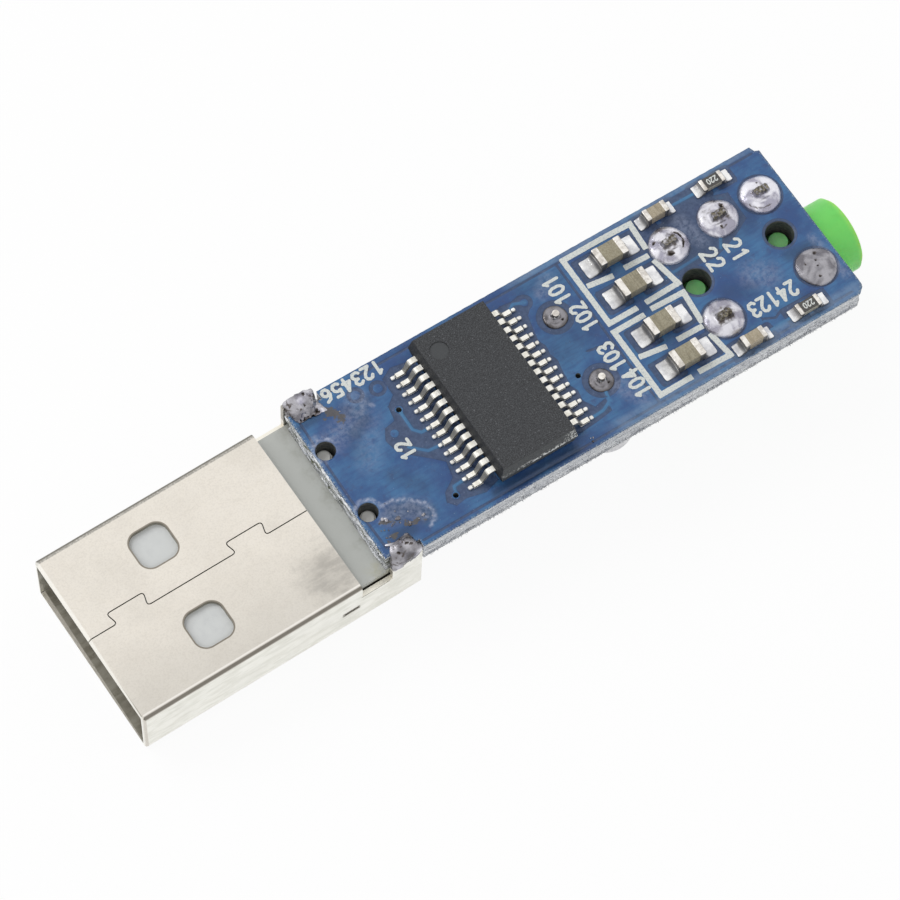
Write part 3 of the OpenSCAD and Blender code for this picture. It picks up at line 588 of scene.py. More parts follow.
BOARD_T, HALF_W, NECK_HALF_W = 1.6, 5.95, 5.4
PLUG_END, SHOULDER, JACK_END = -10.95, -8.6, BOARD_TO_JACK
LOCATING_HOLES = [(-10.18, 2.34, 0.62), (-10.18, -2.34, 0.62)]
PEG_HOLES = [(14.78, 0.0, 0.9), (20.88, 0.0, 0.9)]
OPEN_VIAS = [(-5.07, 2.31, 0.17), (-5.24, -4.15, 0.17), (5.18, -1.47, 0.17)]
TENTED_VIAS = [(-6.12, 1.15), (-6.74, 4.49), (-5.37, 4.17), (5.14, 4.34)]
JACK_PINS = [(21.42, 2.86), (18.28, 2.88), (14.7, 2.9), (14.72, -2.95), (21.48, -3.02)]
CRYSTAL_PINS = [(6.18, 2.51), (6.18, -2.45)]
OUTPUT_CAPS = [(11.2, 4.18), (11.25, 1.7), (11.25, -1.38), (11.28, -3.97)]
FILTER_CAPS = [(15.1, 5.02), (15.28, -5.16)]
OUTPUT_RESISTORS = [(19.3, 5.05), (19.42, -5.02)]
LOWER_RESISTORS = [(-4.6, 4.1, 0), (-4.6, 1.4, 0), (-4.6, -1.4, 0), (-4.6, -4.1, 0), (1.9, 4.6, 0), (1.9, -4.6, 0)]
LOWER_CAPS = [(-1.3, 4.3, 0), (-1.3, 1.6, 0), (-1.3, -1.6, 0), (-1.3, -4.3, 0),
              (1.9, 1.6, 0), (1.9, -1.6, 0), (9.95, 3.2, 90), (9.95, -3.2, 90)]
TRACE_R, RELIEF = 0.13, 0.03

BOARD_OUTLINE = [
    (PLUG_END, -NECK_HALF_W), (SHOULDER, -NECK_HALF_W), (SHOULDER, -HALF_W), (JACK_END - 0.45, -HALF_W),
    (JACK_END - 0.1, 0.3 - HALF_W), (JACK_END, 0.5 - HALF_W), (JACK_END, HALF_W - 0.5),
    (JACK_END - 0.28, HALF_W - 0.38), (JACK_END - 0.42, HALF_W), (SHOULDER, HALF_W), (SHOULDER, NECK_HALF_W),
    (PLUG_END, NECK_HALF_W)
]
# Where the copper is etched away on the upper face
LEFT_HALO = [
    (-4.0, 4.9), (-4.79, 4.5), (-4.79, 3.31), (-5.46, 2.8), (-5.64, 1.82), (-6.4, 1.68), (-6.8, 1.0),
    (-6.62, 0.22), (-6.06, -0.51), (-5.18, -1.31), (-4.5, -2.0), (-4.74, -3.11), (-5.65, -3.7), (-5.9, -4.24),
    (-5.55, -4.7), (-4.83, -4.6), (-3.6, -4.9), (-2.6, -4.6), (-2.6, 4.6)
]
RIGHT_HALO = [
    (2.6, 4.6), (3.8, 4.85), (4.58, 4.75), (5.04, 4.88), (5.55, 4.5), (5.38, 4.0), (4.82, 3.5), (4.57, 2.48),
    (4.42, 1.73), (4.62, 1.23), (4.52, 0.58), (4.7, 0.08), (4.52, -0.74), (4.5, -1.23), (4.34, -1.7),
    (4.6, -2.24), (4.46, -2.98), (4.9, -3.75), (5.7, -3.6), (5.6, -4.4), (4.6, -4.55), (2.6, -4.7)
]
JACK_HALO = [
    (13.7, 4.4), (16.1, 4.4), (16.2, 5.42), (18.35, 5.42), (18.4, 4.5), (19.8, 4.0), (19.75, 2.0), (18.6, 1.4),
    (17.35, 0.95), (16.6, 0.75), (15.9, 0.9), (14.0, 0.95)
]
TRACES = [
    [(-5.07, 2.29), (-5.09, 0.81), (-4.73, 0.36), (-4.2, 0.36)],
    [(-5.9, -0.05), (-5.04, -0.86), (-4.2, -0.94)],
    [(-5.24, -4.15), (-5.0, -3.6), (-4.3, -3.56)],
    [(4.2, -4.22), (5.19, -4.16), (5.84, -3.85), (6.0, -3.2)],
    [(3.9, 4.24), (4.5, 4.6), (5.14, 4.34)],
    [(13.4, 1.22), (15.95, 1.36)],
    [(16.2, 5.1), (18.3, 5.06)],
    [(17.8, 1.9), (17.3, 1.1)],
    [(16.2, -5.1), (18.4, -5.03)],
]
GROOVES = [
    [(-8.5, 5.5), (22.6, 5.5)], [(-8.4, -5.56), (22.3, -5.56)],
    [(8.2, 5.4), (8.2, -2.7), (8.32, -5.5)], [(6.6, -0.4), (8.2, -0.75)],
    [(-10.5, -4.9), (-10.56, -3.3), (-10.62, -1.2), (-10.6, 1.5), (-10.5, 4.6)],
    [(16.7, -4.2), (17.4, -4.55), (18.0, -4.3), (20.2, -4.35)],
]
PAD_GAP = 0.19


def part_pad_boxes(spots, size, reach):
    """Pads at both ends of each part: (x, y, width along x, width along y)."""
    off = size[0] / 2 + (reach - 0.4) / 2
    return [(x + s * off, y, reach + 0.4, size[1] + 0.1) for x, y, *_ in spots for s in (-1, 1)]


# Small parts: length, width, height and end length
SIZE_0805 = (2.0, 1.25, 0.85, 0.45)
SIZE_0603_CAP, SIZE_0603_RES = (1.6, 0.8, 0.8, 0.34), (1.6, 0.8, 0.45, 0.3)
PADS_TOP = (part_pad_boxes(OUTPUT_CAPS, SIZE_0805, 1.0) + part_pad_boxes(FILTER_CAPS, SIZE_0603_CAP, 0.6)
            + part_pad_boxes(OUTPUT_RESISTORS, SIZE_0603_RES, 0.55))
ROUND_PADS_TOP = [(x, y, 1.38) for x, y in JACK_PINS] + [(x, y, 1.12) for x, y in CRYSTAL_PINS]
ROUND_PADS_TOP += [(x, y, 1.04) for x, y, _ in PEG_HOLES]


def copper_top(points):
    """Above 0 where copper lies under the mask of the upper face."""
    bare = np.full(len(points), 1e9)
    for halo in (LEFT_HALO, RIGHT_HALO, JACK_HALO):
        bare = np.minimum(bare, loop_distance(points, halo))
    for disc in ROUND_PADS_TOP:
        bare = np.minimum(bare, disc_distance(points, disc))
    for x, y, w, h in PADS_TOP:
        bare = np.minimum(bare, loop_distance(points, box_loop(x, y, w, h)) - PAD_GAP)
    for groove in GROOVES:
        bare = np.minimum(bare, path_distance(points, groove) - 0.04)
    for x, y in TENTED_VIAS:
        bare = np.minimum(bare, np.abs(disc_distance(points, (x, y, 0.42))) - 0.08)
    for trace in TRACES:
        bare = np.maximum(bare, TRACE_R - path_distance(points, trace))
    for x, y, *_ in OPEN_VIAS + TENTED_VIAS:
        bare = np.maximum(bare, -disc_distance(points, (x, y, 0.3)))
    return bare


def lower_pad_boxes():
    boxes = []
    for spots, size in ((LOWER_RESISTORS, SIZE_0603_RES), (LOWER_CAPS, SIZE_0603_CAP)):
        for x, y, turn in spots:
            for s in (-1, 1):
                along, w, h = s * (size[0] / 2), 0.85, size[1] + 0.1
                boxes.append((x + along, y, w, h) if turn == 0 else (x, y + along, h, w))
    return boxes


LOWER_TRACES = [
    [(-6.9, 3.4), (-5.6, 3.4), (-5.4, 4.1)], [(-6.9, -3.4), (-5.6, -3.4), (-5.4, -4.1)],
    [(-6.9, 1.0), (-5.8, 1.0), (-5.4, 1.4)], [(-3.8, 1.4), (-2.9, 1.6), (-2.1, 1.6)],
    [(-3.8, -1.4), (-2.9, -1.6), (-2.1, -1.6)], [(-0.5, 1.6), (1.1, 1.6)], [(-0.5, -1.6), (1.1, -1.6)],
    [(2.7, 1.6), (4.4, 2.4), (6.1, 2.5)], [(2.7, -1.6), (4.4, -2.4), (6.1, -2.45)],
    [(2.7, 4.6), (8.6, 4.9), (9.9, 4.0)], [(2.7, -4.6), (8.6, -4.9), (9.9, -4.0)],
]


def copper_bottom(points):
    bare = np.full(len(points), 1e9)
    for x, y in JACK_PINS:
        bare = np.minimum(bare, disc_distance(points, (x, y, 1.3)))
    for x, y in CRYSTAL_PINS:
        bare = np.minimum(bare, disc_distance(points, (x, y, 0.9)))
    for x, y, w, h in lower_pad_boxes():
        bare = np.minimum(bare, loop_distance(points, box_loop(x, y, w, h)) - PAD_GAP)
    for trace in LOWER_TRACES:
        bare = np.minimum(bare, path_distance(points, trace) - 0.3)
    for trace in LOWER_TRACES:
        bare = np.maximum(bare, TRACE_R - path_distance(points, trace))
    return bare


# The pale line where a pool of flux dried beside the near tab
TIDE_LINE = [
    (-9.42, -2.45), (-8.61, -2.43), (-7.77, -2.87), (-7.04, -3.59), (-6.9, -4.38), (-7.05, -4.72), (-7.55, -5.01)
]
# Flux haze: soft strokes with their half-widths and strengths, and the burnt flux in the same way
HAZE = [
    (circle_loop(-10.18, 2.34, 0.8)[2:20], 0.11, 1.0), (circle_loop(-10.18, -2.34, 0.8)[:17], 0.11, 0.95),
    ([(-9.9, -3.3), (-9.5, -3.15)], 0.16, 0.8), ([(-9.0, -3.6), (-8.8, -3.5)], 0.1, 0.8),
    ([(-7.6, -4.1), (-7.35, -4.5)], 0.14, 0.6),
    (TIDE_LINE, 0.09, 1.0),
    ([(-9.2, -3.2), (-8.2, -3.2), (-7.5, -3.9)], 0.7, 0.34),
    ([(-9.6, 2.6), (-8.6, 3.0), (-7.6, 3.4), (-6.9, 4.1)], 0.8, 0.3), ([(-10.3, 3.3), (-10.75, 1.8)], 0.3, 0.5),
    ([(-7.1, 3.2), (-6.6, 3.9), (-6.2, 3.35)], 0.14, 0.5), ([(-8.4, 0.4), (-6.9, 2.6)], 0.8, 0.16),
    ([(7.2, 4.9), (6.4, 4.3)], 0.5, 0.3), ([(6.9, -3.3), (7.6, -4.6)], 0.6, 0.3),
    ([(17.9, -1.4), (18.6, -1.9)], 0.9, 0.3), ([(22.4, -1.2), (22.7, -4.4)], 0.3, 0.35),
    ([(16.2, 3.9), (16.6, 2.2)], 0.5, 0.3),
]
SCORCH = [
    ([(-8.55, 4.5), (-8.3, 3.6)], 0.32, 1.05), ([(-9.2, 4.1), (-9.0, 4.05)], 0.12, 0.7),
    ([(-9.8, -3.3), (-9.3, -3.6)], 0.25, 0.7), ([(-8.6, -4.1), (-7.7, -4.4)], 0.3, 0.66),
    ([(-10.2, -4.6), (-9.6, -4.4)], 0.35, 0.6),
]
# Dark patches round the tabs and between the large capacitors, and a painted shadow beside the chip's near end
STAINS_AND_SHADOW = [
    ([(-9.0, -3.2), (-8.0, -3.5), (-7.4, -4.2)], 0.7, 0.75),
    ([(-7.9, 3.9), (-7.1, 3.4), (-6.4, 3.9)], 0.45, 0.5), ([(-3.2, -5.3), (2.4, -5.35)], 0.28, 0.75),
    ([(-9.6, -4.5), (-8.6, -4.6)], 0.4, 0.7), ([(-10.7, 4.4), (-9.0, 4.4)], 0.25, 0.6),
    ([(5.6, 5.2), (7.6, 4.6)], 0.7, 0.35), ([(5.4, 0.4), (7.2, 0.9)], 1.1, 0.3),
    ([(10.2, 0.1), (13.0, 0.1)], 0.3, 0.5), ([(13.6, 2.0), (19.6, 2.2)], 1.3, 0.4),
    ([(16.0, -1.6), (17.2, -2.2)], 0.6, 0.3), ([(-8.6, 1.0), (-8.2, 3.0)], 0.5, 0.25),
    ([(20.5, -1.5), (22.0, -1.7)], 0.45, 0.6), ([(-8.1, 2.4), (-7.2, 2.9)], 0.5, 0.6),
    ([(-7.6, -1.2), (-6.6, -2.6)], 0.6, 0.3),
]


def soft_strokes(points, strokes):
    total = np.zeros(len(points))
    for path, half_width, strength in strokes:
        d = path_distance(points, path) / half_width
        total = np.maximum(total, strength * np.clip(1.4 - d, 0, 1))
    return total


def face_grid(loops, holes, field, step=0.16):
    """Points and triangles of one face of the board, with points laid along the edges of the copper."""
    flat, edges = [], []
    for loop in loops:
        first = len(flat)
        flat += loop
        edges += [(first + k, first + (k + 1) % len(loop)) for k in range(len(loop))]
    xs, ys = np.arange(PLUG_END, JACK_END, step), np.arange(-HALF_W, HALF_W, step)
    grid = np.array([(x + 0.5 * step * (j % 2), y) for j, y in enumerate(ys) for x in xs])
    nudge = 0.01
    d = field(grid)
    slope = np.stack([field(grid + (nudge, 0)) - field(grid - (nudge, 0)),
                      field(grid + (0, nudge)) - field(grid - (0, nudge))], axis=1) / (2 * nudge)
    near = np.abs(d - 0.03) < 0.6 * step
    low = grid[near] - slope[near] * (d[near])[:, None]
    high = grid[near] - slope[near] * (d[near] - 0.06)[:, None]
    grid = np.concatenate([grid[~near], low, high])
    room = -loop_distance(grid, loops[0])
    for x, y, r in holes:
        room = np.minimum(room, disc_distance(grid, (x, y, r)))
    grid = grid[room > 0.07]
    # Points that nearly coincide would only make slivers
    _, keep = np.unique(np.round(grid / 0.035).astype(int), axis=0, return_index=True)
    flat += [tuple(p) for p in grid[np.sort(keep)]]
    points, _, faces, origins, _, _ = delaunay_2d_cdt([Vector(p) for p in flat], edges, [], 0, 1e-4, True)
    order = {source: k for k, sources in enumerate(origins) for source in sources}
    points = np.array([tuple(p) for p in points])
    middles = np.array([points[list(f)].mean(axis=0) for f in faces])
    keep = loop_distance(middles, loops[0]) < 0
    for loop in loops[1:]:
        keep &= loop_distance(middles, loop) > 0
    faces = [f if np.cross(points[f[1]] - points[f[0]], points[f[2]] - points[f[0]]) > 0 else f[::-1]
             for f, k in zip(faces, keep) if k]
    starts = np.cumsum([0] + [len(l) for l in loops])
    rims = [[order[s + k] for k in range(len(l))] for s, l in zip(starts, loops)]
    return points, faces, rims


def build_board():
    holes = (LOCATING_HOLES + PEG_HOLES + OPEN_VIAS + [(x, y, 0.6) for x, y in JACK_PINS]
             + [(x, y, 0.42) for x, y in CRYSTAL_PINS])
    edge = []
    for x, y in resampled(BOARD_OUTLINE, 0.14):
        inward = 0.02 + ruffle((x, y, 0), 0.35, 0.02)
        edge.append((x - math.copysign(inward, x - 6), y - math.copysign(inward, y)))
    loops = [edge] + [circle_loop(*h, 36 if h[2] > 0.3 else 16) for h in holes]
    board = Shape()
    rims = []
    for level, field in ((0.0, copper_top), (-BOARD_T, copper_bottom)):
        flat, faces, rim = face_grid(loops, holes, field)
        copper = np.clip(field(flat) / 0.06, 0, 1)
        sunk = RELIEF * (1 - copper)
        up = 1 if level == 0 else -1
        points = [(x, y, level - up * s) for (x, y), s in zip(flat, sunk)]
        rims.append([[k + len(board.points) for k in r] for r in rim])
        chips = np.clip(1 + loop_distance(flat, loops[0]) / 0.09, 0, 1) * (flat[:, 1] < HALF_W - 0.2)
        marks = {}
        if level == 0:
            to_trace = np.min([path_distance(flat, trace) for trace in TRACES], axis=0)
            marks = {"haze": soft_strokes(flat, HAZE), "scorch": soft_strokes(flat, SCORCH),
                     "stain": soft_strokes(flat, STAINS_AND_SHADOW), "trace": np.clip(3 - to_trace / 0.045, 0, 1)}
        else:
            faces = [f[::-1] for f in faces]
        board.add(points, faces, 0, copper=copper, chips=chips, **marks)
    rows = 9
    for n, (upper, lower) in enumerate(zip(*rims)):
        outer = n == 0
        levels = [upper]
        for row in range(1, rows):
            t = row / rows
            ring = []
            for a, b in zip(upper, lower):
                pa, pb = Vector(board.points[a]), Vector(board.points[b])
                p = pa.lerp(pb, t)
                if outer:
                    depth = 0.03 + 0.07 * t + ruffle(p, 0.22, 0.06, 2) + ruffle((p.x, p.y, p.z * 6), 0.5, 0.05, 5)
                    depth = max(0.0, depth) * (1 if abs(p.y) > 5.2 else 1.5)
                    p.x -= math.copysign(depth, p.x - 6) if abs(p.y) < HALF_W - 0.3 else 0
                    p.y -= math.copysign(depth, p.y) if abs(p.y) > NECK_HALF_W - 0.3 else 0
                ring.append(tuple(p))
            first = len(board.points)
            ends = [1.0 if p[0] < PLUG_END + 0.6 else 0.0 for p in ring]
            board.add(ring, [], plug_end=ends)
            levels.append(list(range(first, first + len(ring))))
        levels.append(lower)
        count = len(upper)
        for above, below in zip(levels[:-1], levels[1:]):
            for k in range(count):
                quad = (above[k], above[(k + 1) % count], below[(k + 1) % count], below[k])
                board.faces.append(quad[::-1] if outer else quad)
                board.kinds.append(1 if outer else 2)
    add_tufts(board)
    board.piece("board_body", [MASK, FIBRE, WALL], "board", ["circuit_board"])


def add_tufts(board):
    """Torn fibres along the sawn edges: each place, its way out, count, length, rise and levels."""
    neck, near = ((PLUG_END, -5.2), (PLUG_END, 5.2)), ((-8.4, -HALF_W), (22.5, -HALF_W))
    runs = [
        (neck, (-1, 0), 90, 0.12, (-0.35, -0.02)), (neck, (-1, 0), 60, 0.12, (-1.3, -0.3)),
        (near, (0, -1), 420, 0.09, (-1.6, -1.4)), (near, (0, -1), 200, 0.05, (-1.4, -0.2)),
        (((JACK_END, -5.4), (JACK_END, 5.4)), (1, 0), 120, 0.05, (-1.55, -0.1)),
    ]
    for (a, b), out, count, length, heights in runs:
        along = Vector((b[0] - a[0], b[1] - a[1], 0)).normalized()
        for _ in range(count):
            root = Vector((*a, 0)).lerp(Vector((*b, 0)), random.random())
            root.z = random.uniform(*heights)
            root -= Vector((*out, 0)) * 0.09
            reach = length * random.uniform(0.4, 1.3) + 0.09
            tip = root + Vector((*out, 0)) * reach + along * random.gauss(0, 0.1)
            tip.z = max(-BOARD_T - 0.05, min(0.01, root.z + random.gauss(0, 0.05)))
            width, thick = random.uniform(0.02, 0.05), Vector((0, 0, random.uniform(0.015, 0.035)))
            foot, head = along * width, along * width * 0.6
            corners = [root - foot - thick, root + foot - thick, root + head + thick, root - head + thick, tip]
            board.add(corners, [(0, 1, 4), (1, 2, 4), (2, 3, 4), (3, 0, 4), (3, 2, 1, 0)], 1)
    for _ in range(72):
        add_strand(board)


def add_strand(board):
    """One bundle of fibres that lies along the neck's end face."""
    y, z = random.uniform(-5.2, 5.0), random.choice((random.uniform(-0.4, -0.06), random.uniform(-1.3, -0.3)))
    length, size, seed = random.uniform(0.5, 2.0), random.uniform(0.035, 0.075), random.uniform(0, 50)
    steps, sides = 14, 6
    points, faces = [], []
    for i in range(steps + 1):
        u = i / steps
        thick = size * (0.25 + math.sin(math.pi * u) ** 0.5) + ruffle((6 * u, seed, 1), 0.6, 0.012)
        middle = Vector((PLUG_END - 0.01 + ruffle((3 * u, seed, 4), 0.6, 0.06), min(y + length * u, 5.62),
                         min(z + ruffle((3 * u, seed, 9), 0.7, 0.12), -0.05)))
        for k in range(sides):
            a = math.tau * k / sides
            points.append(middle + Vector((thick * math.cos(a), 0, thick * 0.8 * math.sin(a))))
    for i in range(steps):
        for k in range(sides):
            n = (k + 1) % sides
            faces.append((i * sides + k, (i + 1) * sides + k, (i + 1) * sides + n, i * sides + n))
    faces += [tuple(range(sides)), tuple(range(steps * sides, (steps + 1) * sides))[::-1]]
    board.add(points, faces, 1, plug_end=random.choice((0.0, 0.6, 1.0)))


# ---------------------------------------------------------------- printed legend

INK_TOP, INK_FOOT = 0.016, -0.034


def stroke_distance(points, stroke):
    """Signed distance to a line with a width, whose ends are round or square."""
    path, width, square = stroke
    if not square:
        return path_distance(points, path) - width / 2
    best = path_distance(points, path[1:-1]) - width / 2 if len(path) > 3 else np.full(len(points), 1e9)
    for a, b in zip(path[:-1], path[1:]):
        a, d = np.array(a), np.subtract(b, a)
        length = math.hypot(*d)
        d = d / length
        away = points - a
        along = np.abs(away @ d - length / 2) - length / 2 - (width / 2 if len(path) > 2 else 0)
        best = np.minimum(best, np.maximum(along, np.abs(away @ (-d[1], d[0])) - width / 2))
    return best


def add_print(shape, strokes, step=0.05, top=INK_TOP, foot=INK_FOOT, kind=0):
    """Adds one flat printed form, the union of its strokes, cut cell by cell from a fine grid."""
    every = np.array([p for path, *_ in strokes for p in path])
    margin = max(width for _, width, _ in strokes)
    xs = np.arange(every[:, 0].min() - margin, every[:, 0].max() + margin, step)
    ys = np.arange(every[:, 1].min() - margin, every[:, 1].max() + margin, step)
    grid = np.stack(np.meshgrid(xs, ys, indexing="ij"), axis=-1).reshape(-1, 2)
    field = np.min([stroke_distance(grid, stroke) for stroke in strokes], axis=0)
    field += [ruffle((x, y, 3), 3 * step, 0.3 * step) for x, y in grid]
    field = field.reshape(len(xs), len(ys))
    points, faces, known = [], [], {}

    def corner(key, x, y):
        if key not in known:
            known[key] = len(points)
            points.append((x, y, top))
        return known[key]

    filled = field < 0
    touched = filled[:-1, :-1] | filled[1:, :-1] | filled[1:, 1:] | filled[:-1, 1:]
    for i, j in zip(*np.nonzero(touched)):
        ring, cuts = [], []
        around = [(i, j), (i + 1, j), (i + 1, j + 1), (i, j + 1)]
        for a, b in zip(around, around[1:] + around[:1]):
            fa, fb = field[a], field[b]
            if fa < 0:
                ring.append(corner(a, xs[a[0]], ys[a[1]]))
            if (fa < 0) != (fb < 0):
                s = fa / (fa - fb)
                cuts.append(corner((min(a, b), max(a, b)), xs[a[0]] + (xs[b[0]] - xs[a[0]]) * s,
                                   ys[a[1]] + (ys[b[1]] - ys[a[1]]) * s))
                ring.append(cuts[-1])
        faces.append(ring)
        if len(cuts) == 2:
            # The side wall runs along the cut, from where the outline leaves the form
            a, b = cuts if ring[(ring.index(cuts[0]) + 1) % len(ring)] == cuts[1] else cuts[::-1]
            for c in (b, a):
                if ("foot", c) not in known:
                    known[("foot", c)] = len(points)
                    points.append((*points[c][:2], foot))
            faces.append([b, a, known[("foot", a)], known[("foot", b)]])
    shape.add(points, faces, kind)


# Strokes of the digits in a cell 0.6 wide and 1 high
DIGITS = {
    "0": [[(0.3, 1), (0.1, 0.9), (0, 0.7), (0, 0.3), (0.1, 0.1), (0.3, 0), (0.5, 0.1), (0.6, 0.3), (0.6, 0.7),
           (0.5, 0.9), (0.3, 1)]],
    "1": [[(0.12, 0.8), (0.34, 1), (0.34, 0)]],
    "2": [[(0, 0.78), (0.12, 0.96), (0.32, 1), (0.52, 0.92), (0.58, 0.72), (0.48, 0.5), (0, 0), (0.6, 0)]],
    "3": [[(0, 0.86), (0.16, 1), (0.42, 0.98), (0.56, 0.78), (0.46, 0.58), (0.24, 0.53), (0.48, 0.47),
           (0.6, 0.26), (0.48, 0.05), (0.18, 0), (0, 0.14)]],
    "4": [[(0.42, 0), (0.42, 1), (0, 0.32), (0.6, 0.32)]],
    "5": [[(0.55, 1), (0.08, 1), (0.04, 0.56), (0.3, 0.62), (0.52, 0.5), (0.58, 0.28), (0.44, 0.05), (0.18, 0),
           (0, 0.12)]],
    "6": [[(0.5, 0.98), (0.2, 0.86), (0.03, 0.5), (0.04, 0.2), (0.18, 0.02), (0.42, 0.01), (0.58, 0.18),
           (0.56, 0.4), (0.38, 0.54), (0.14, 0.5), (0.04, 0.34)]],
}


def number(digits, middle, along, height, pitch=0.8, width=0.2):
    """Strokes of digits centred on middle, read along a direction in the plane."""
    along = Vector(along).normalized()
    up = Vector((-along.y, along.x))
    wide = 1.1 * pitch * height
    start = Vector(middle) - along * (pitch * height * (len(digits) - 1) / 2 + 0.3 * wide) - up * height / 2
    strokes = []
    for k, digit in enumerate(digits):
        left = start + along * k * pitch * height
        for stroke in DIGITS[digit]:
            strokes.append(([tuple(left + along * x * wide + up * y * height) for x, y in stroke], width, False))
    return strokes


LINE_W = 0.36
# Lines round the two pairs of large capacitors
BOX_LINES = [
    [(11.4, 5.46), (8.68, 5.46), (8.7, 0.42), (10.55, 0.42)],
    [(11.62, 5.46), (13.52, 5.4), (13.42, 3.62)],
    [(13.4, 2.42), (13.74, 0.5), (11.5, 0.44)],
    [(8.95, 3.22), (10.72, 2.98)], [(11.55, 3.06), (13.3, 3.0)],
    [(10.65, -0.2), (8.61, -0.2), (8.63, -5.15), (10.75, -5.14)],
    [(11.53, -0.1), (13.66, -0.18), (13.48, -2.3)],
    [(13.46, -3.5), (13.68, -5.15), (11.58, -5.09)],
    [(8.93, -2.39), (10.77, -2.66)], [(11.52, -2.64), (13.38, -2.68)],
]
# Each number's digits, middle, reading direction, height and pitch
NUMBERS = [
    ("101", (7.25, 3.98), (0, 1), 0.94, 0.72), ("102", (7.65, 1.62), (0, 1), 0.94, 0.72),
    ("103", (7.58, -1.47), (0, 1), 0.94, 0.72), ("104", (7.87, -3.72), (0, 1), 0.94, 0.72),
    ("21", (18.05, 0.5), (0, -1), 1.0, 0.8), ("22", (16.45, 0.75), (0, -1), 1.0, 0.8),
    ("24123", (17.98, -3.44), (-1, 0), 0.96, 0.72), ("12", (-6.15, -0.1), (0, 1), 0.86, 0.78),
    ("123456", (-6.42, 5.34), (-1, 0), 0.84, 0.84),
]


def build_legend():
    legend = Shape()
    add_print(legend, [(path, LINE_W, True) for path in BOX_LINES])
    for digits, middle, along, height, pitch in NUMBERS:
        add_print(legend, number(digits, middle, along, height, pitch), 0.04)
    legend.piece("board_legend", [INK], "board", smooth=False)


# ---------------------------------------------------------------- small parts

def solder_end(shape, size, pad, side, seed):
    """Solder on one pad: flat and bright outside, climbing in a hollow curve to the part's end."""
    x0 = side * (size[0] / 2 - 0.1)
    reach, half_w = pad + 0.1, size[1] / 2 + 0.06
    rows, cols = 22, 17
    points, faces, shade = [], [], []
    for i in range(rows):
        u = i / (rows - 1)
        for j in range(cols):
            v = 2 * j / (cols - 1) - 1
            shade.append(max(0.0, min(1.0, (1.25 if side < 0 else 0.6) - 1.5 * u)))
            corner = 0.05 * (u ** 16 + v ** 16)
            out = reach * u + ruffle((seed, j, 0.3), 2.2, 0.03) * u
            edge = min(1.0, (1 - u) * 20, (1 - abs(v)) * 8)
            climb = 0.62 * size[2] * math.exp(-max(0, out - 0.1) / 0.13) * (1 - 0.35 * v * v)
            h = 0.03 + 0.05 * math.sqrt(max(edge, 0)) + climb + ruffle((out, 2 * v, seed), 0.7, 0.012) * edge
            rim = i == rows - 1 or j in (0, cols - 1)
            points.append((x0 + side * (out - corner * u), v * (half_w - corner * 0.8), 0.0 if rim else h))
    for i in range(rows - 1):
        for j in range(cols - 1):
            a = i * cols + j
            quad = (a, a + cols, a + cols + 1, a + 1)
            faces.append(quad if side > 0 else quad[::-1])
    shape.add(points, faces, 0, shade=shade)


def part_body(size, core_kind, lift=0.04):
    """Ceramic block with two metal ends that stand a little proud of it."""
    shape = Shape()
    l, w, h, end = size
    points, faces = rounded_box((l - 0.12, w - 0.06, h - 0.05), 0.03, 2)
    shape.add([p + Vector((0, 0, lift + h / 2)) for p in points], faces, core_kind)
    for s in (-1, 1):
        points, faces = rounded_box((end, w, h), 0.07, 3)
        moved = []
        for p in points:
            q = p + Vector((s * (l - end) / 2, 0, lift + h / 2))
            q += Vector((ruffle(q, 0.35, 0.018, 3), 0, ruffle(q, 0.4, 0.01, 6)))
            moved.append(q)
        shape.add(moved, faces, 1)
    return shape


def seat_part(shape, spot, under=False):
    """Turns a part about its spot on the board, and hangs it below the board if asked."""
    x, y, turn = (*spot, 0)[:3]
    matrix = Matrix.Translation((x, y, 0)) @ Matrix.Rotation(math.radians(turn), 4, "Z")
    shape.moved(lambda p: matrix @ p)
    if under:
        shape.moved(lambda p: Vector((p.x, p.y, -BOARD_T - p.z))).flipped()
    return shape


def build_small_parts():
    groups = [
        ("output_cap", OUTPUT_CAPS, SIZE_0805, KHAKI, 0.92, False, "cap"),
        ("filter_cap", FILTER_CAPS, SIZE_0603_CAP, TAN, 0.55, False, "small_cap"),
        ("output_resistor", OUTPUT_RESISTORS, SIZE_0603_RES, ALUMINA, 0.55, False, "resistor"),
        ("lower_resistor", LOWER_RESISTORS, SIZE_0603_RES, ALUMINA, 0.4, True, "resistor"),
        ("lower_cap", LOWER_CAPS, SIZE_0603_CAP, TAN, 0.4, True, "small_cap"),
    ]
    solder = {False: Shape(), True: Shape()}
    for stem, spots, size, core, pad, under, slot in groups:
        for k, spot in enumerate(spots):
            body = part_body(size, 0)
            if slot == "resistor":
                l, w, h, end = size
                points, faces = rounded_box((l - 2 * end + 0.04, w - 0.08, 0.05), 0.02, 2)
                body.add([p + Vector((0, 0, 0.04 + h)) for p in points], faces, 2)
                if not under:
                    add_print(body, number("220", (0, 0), (-1, 0), 0.36, 0.7, 0.07), 0.02, 0.07 + h, 0.05 + h, 3)
            seat_part(body, spot, under)
            body.piece(f"{stem}_{k + 1}_body", [core, END, GLAZE, INK], slot, [f"{stem}_{k + 1}"])
            ends = Shape()
            for s in (-1, 1):
                solder_end(ends, size, pad, s, 3.7 * k + s + len(stem))
            seat_part(ends, spot, under)
            solder[under].add(ends.points, ends.faces, 0, **ends.values)
    solder[False].piece("solder_top_pads", [PAD], "solder", ["top_pads"])
    solder[True].piece("solder_lower_pads", [PAD], "solder", ["lower_pads"])


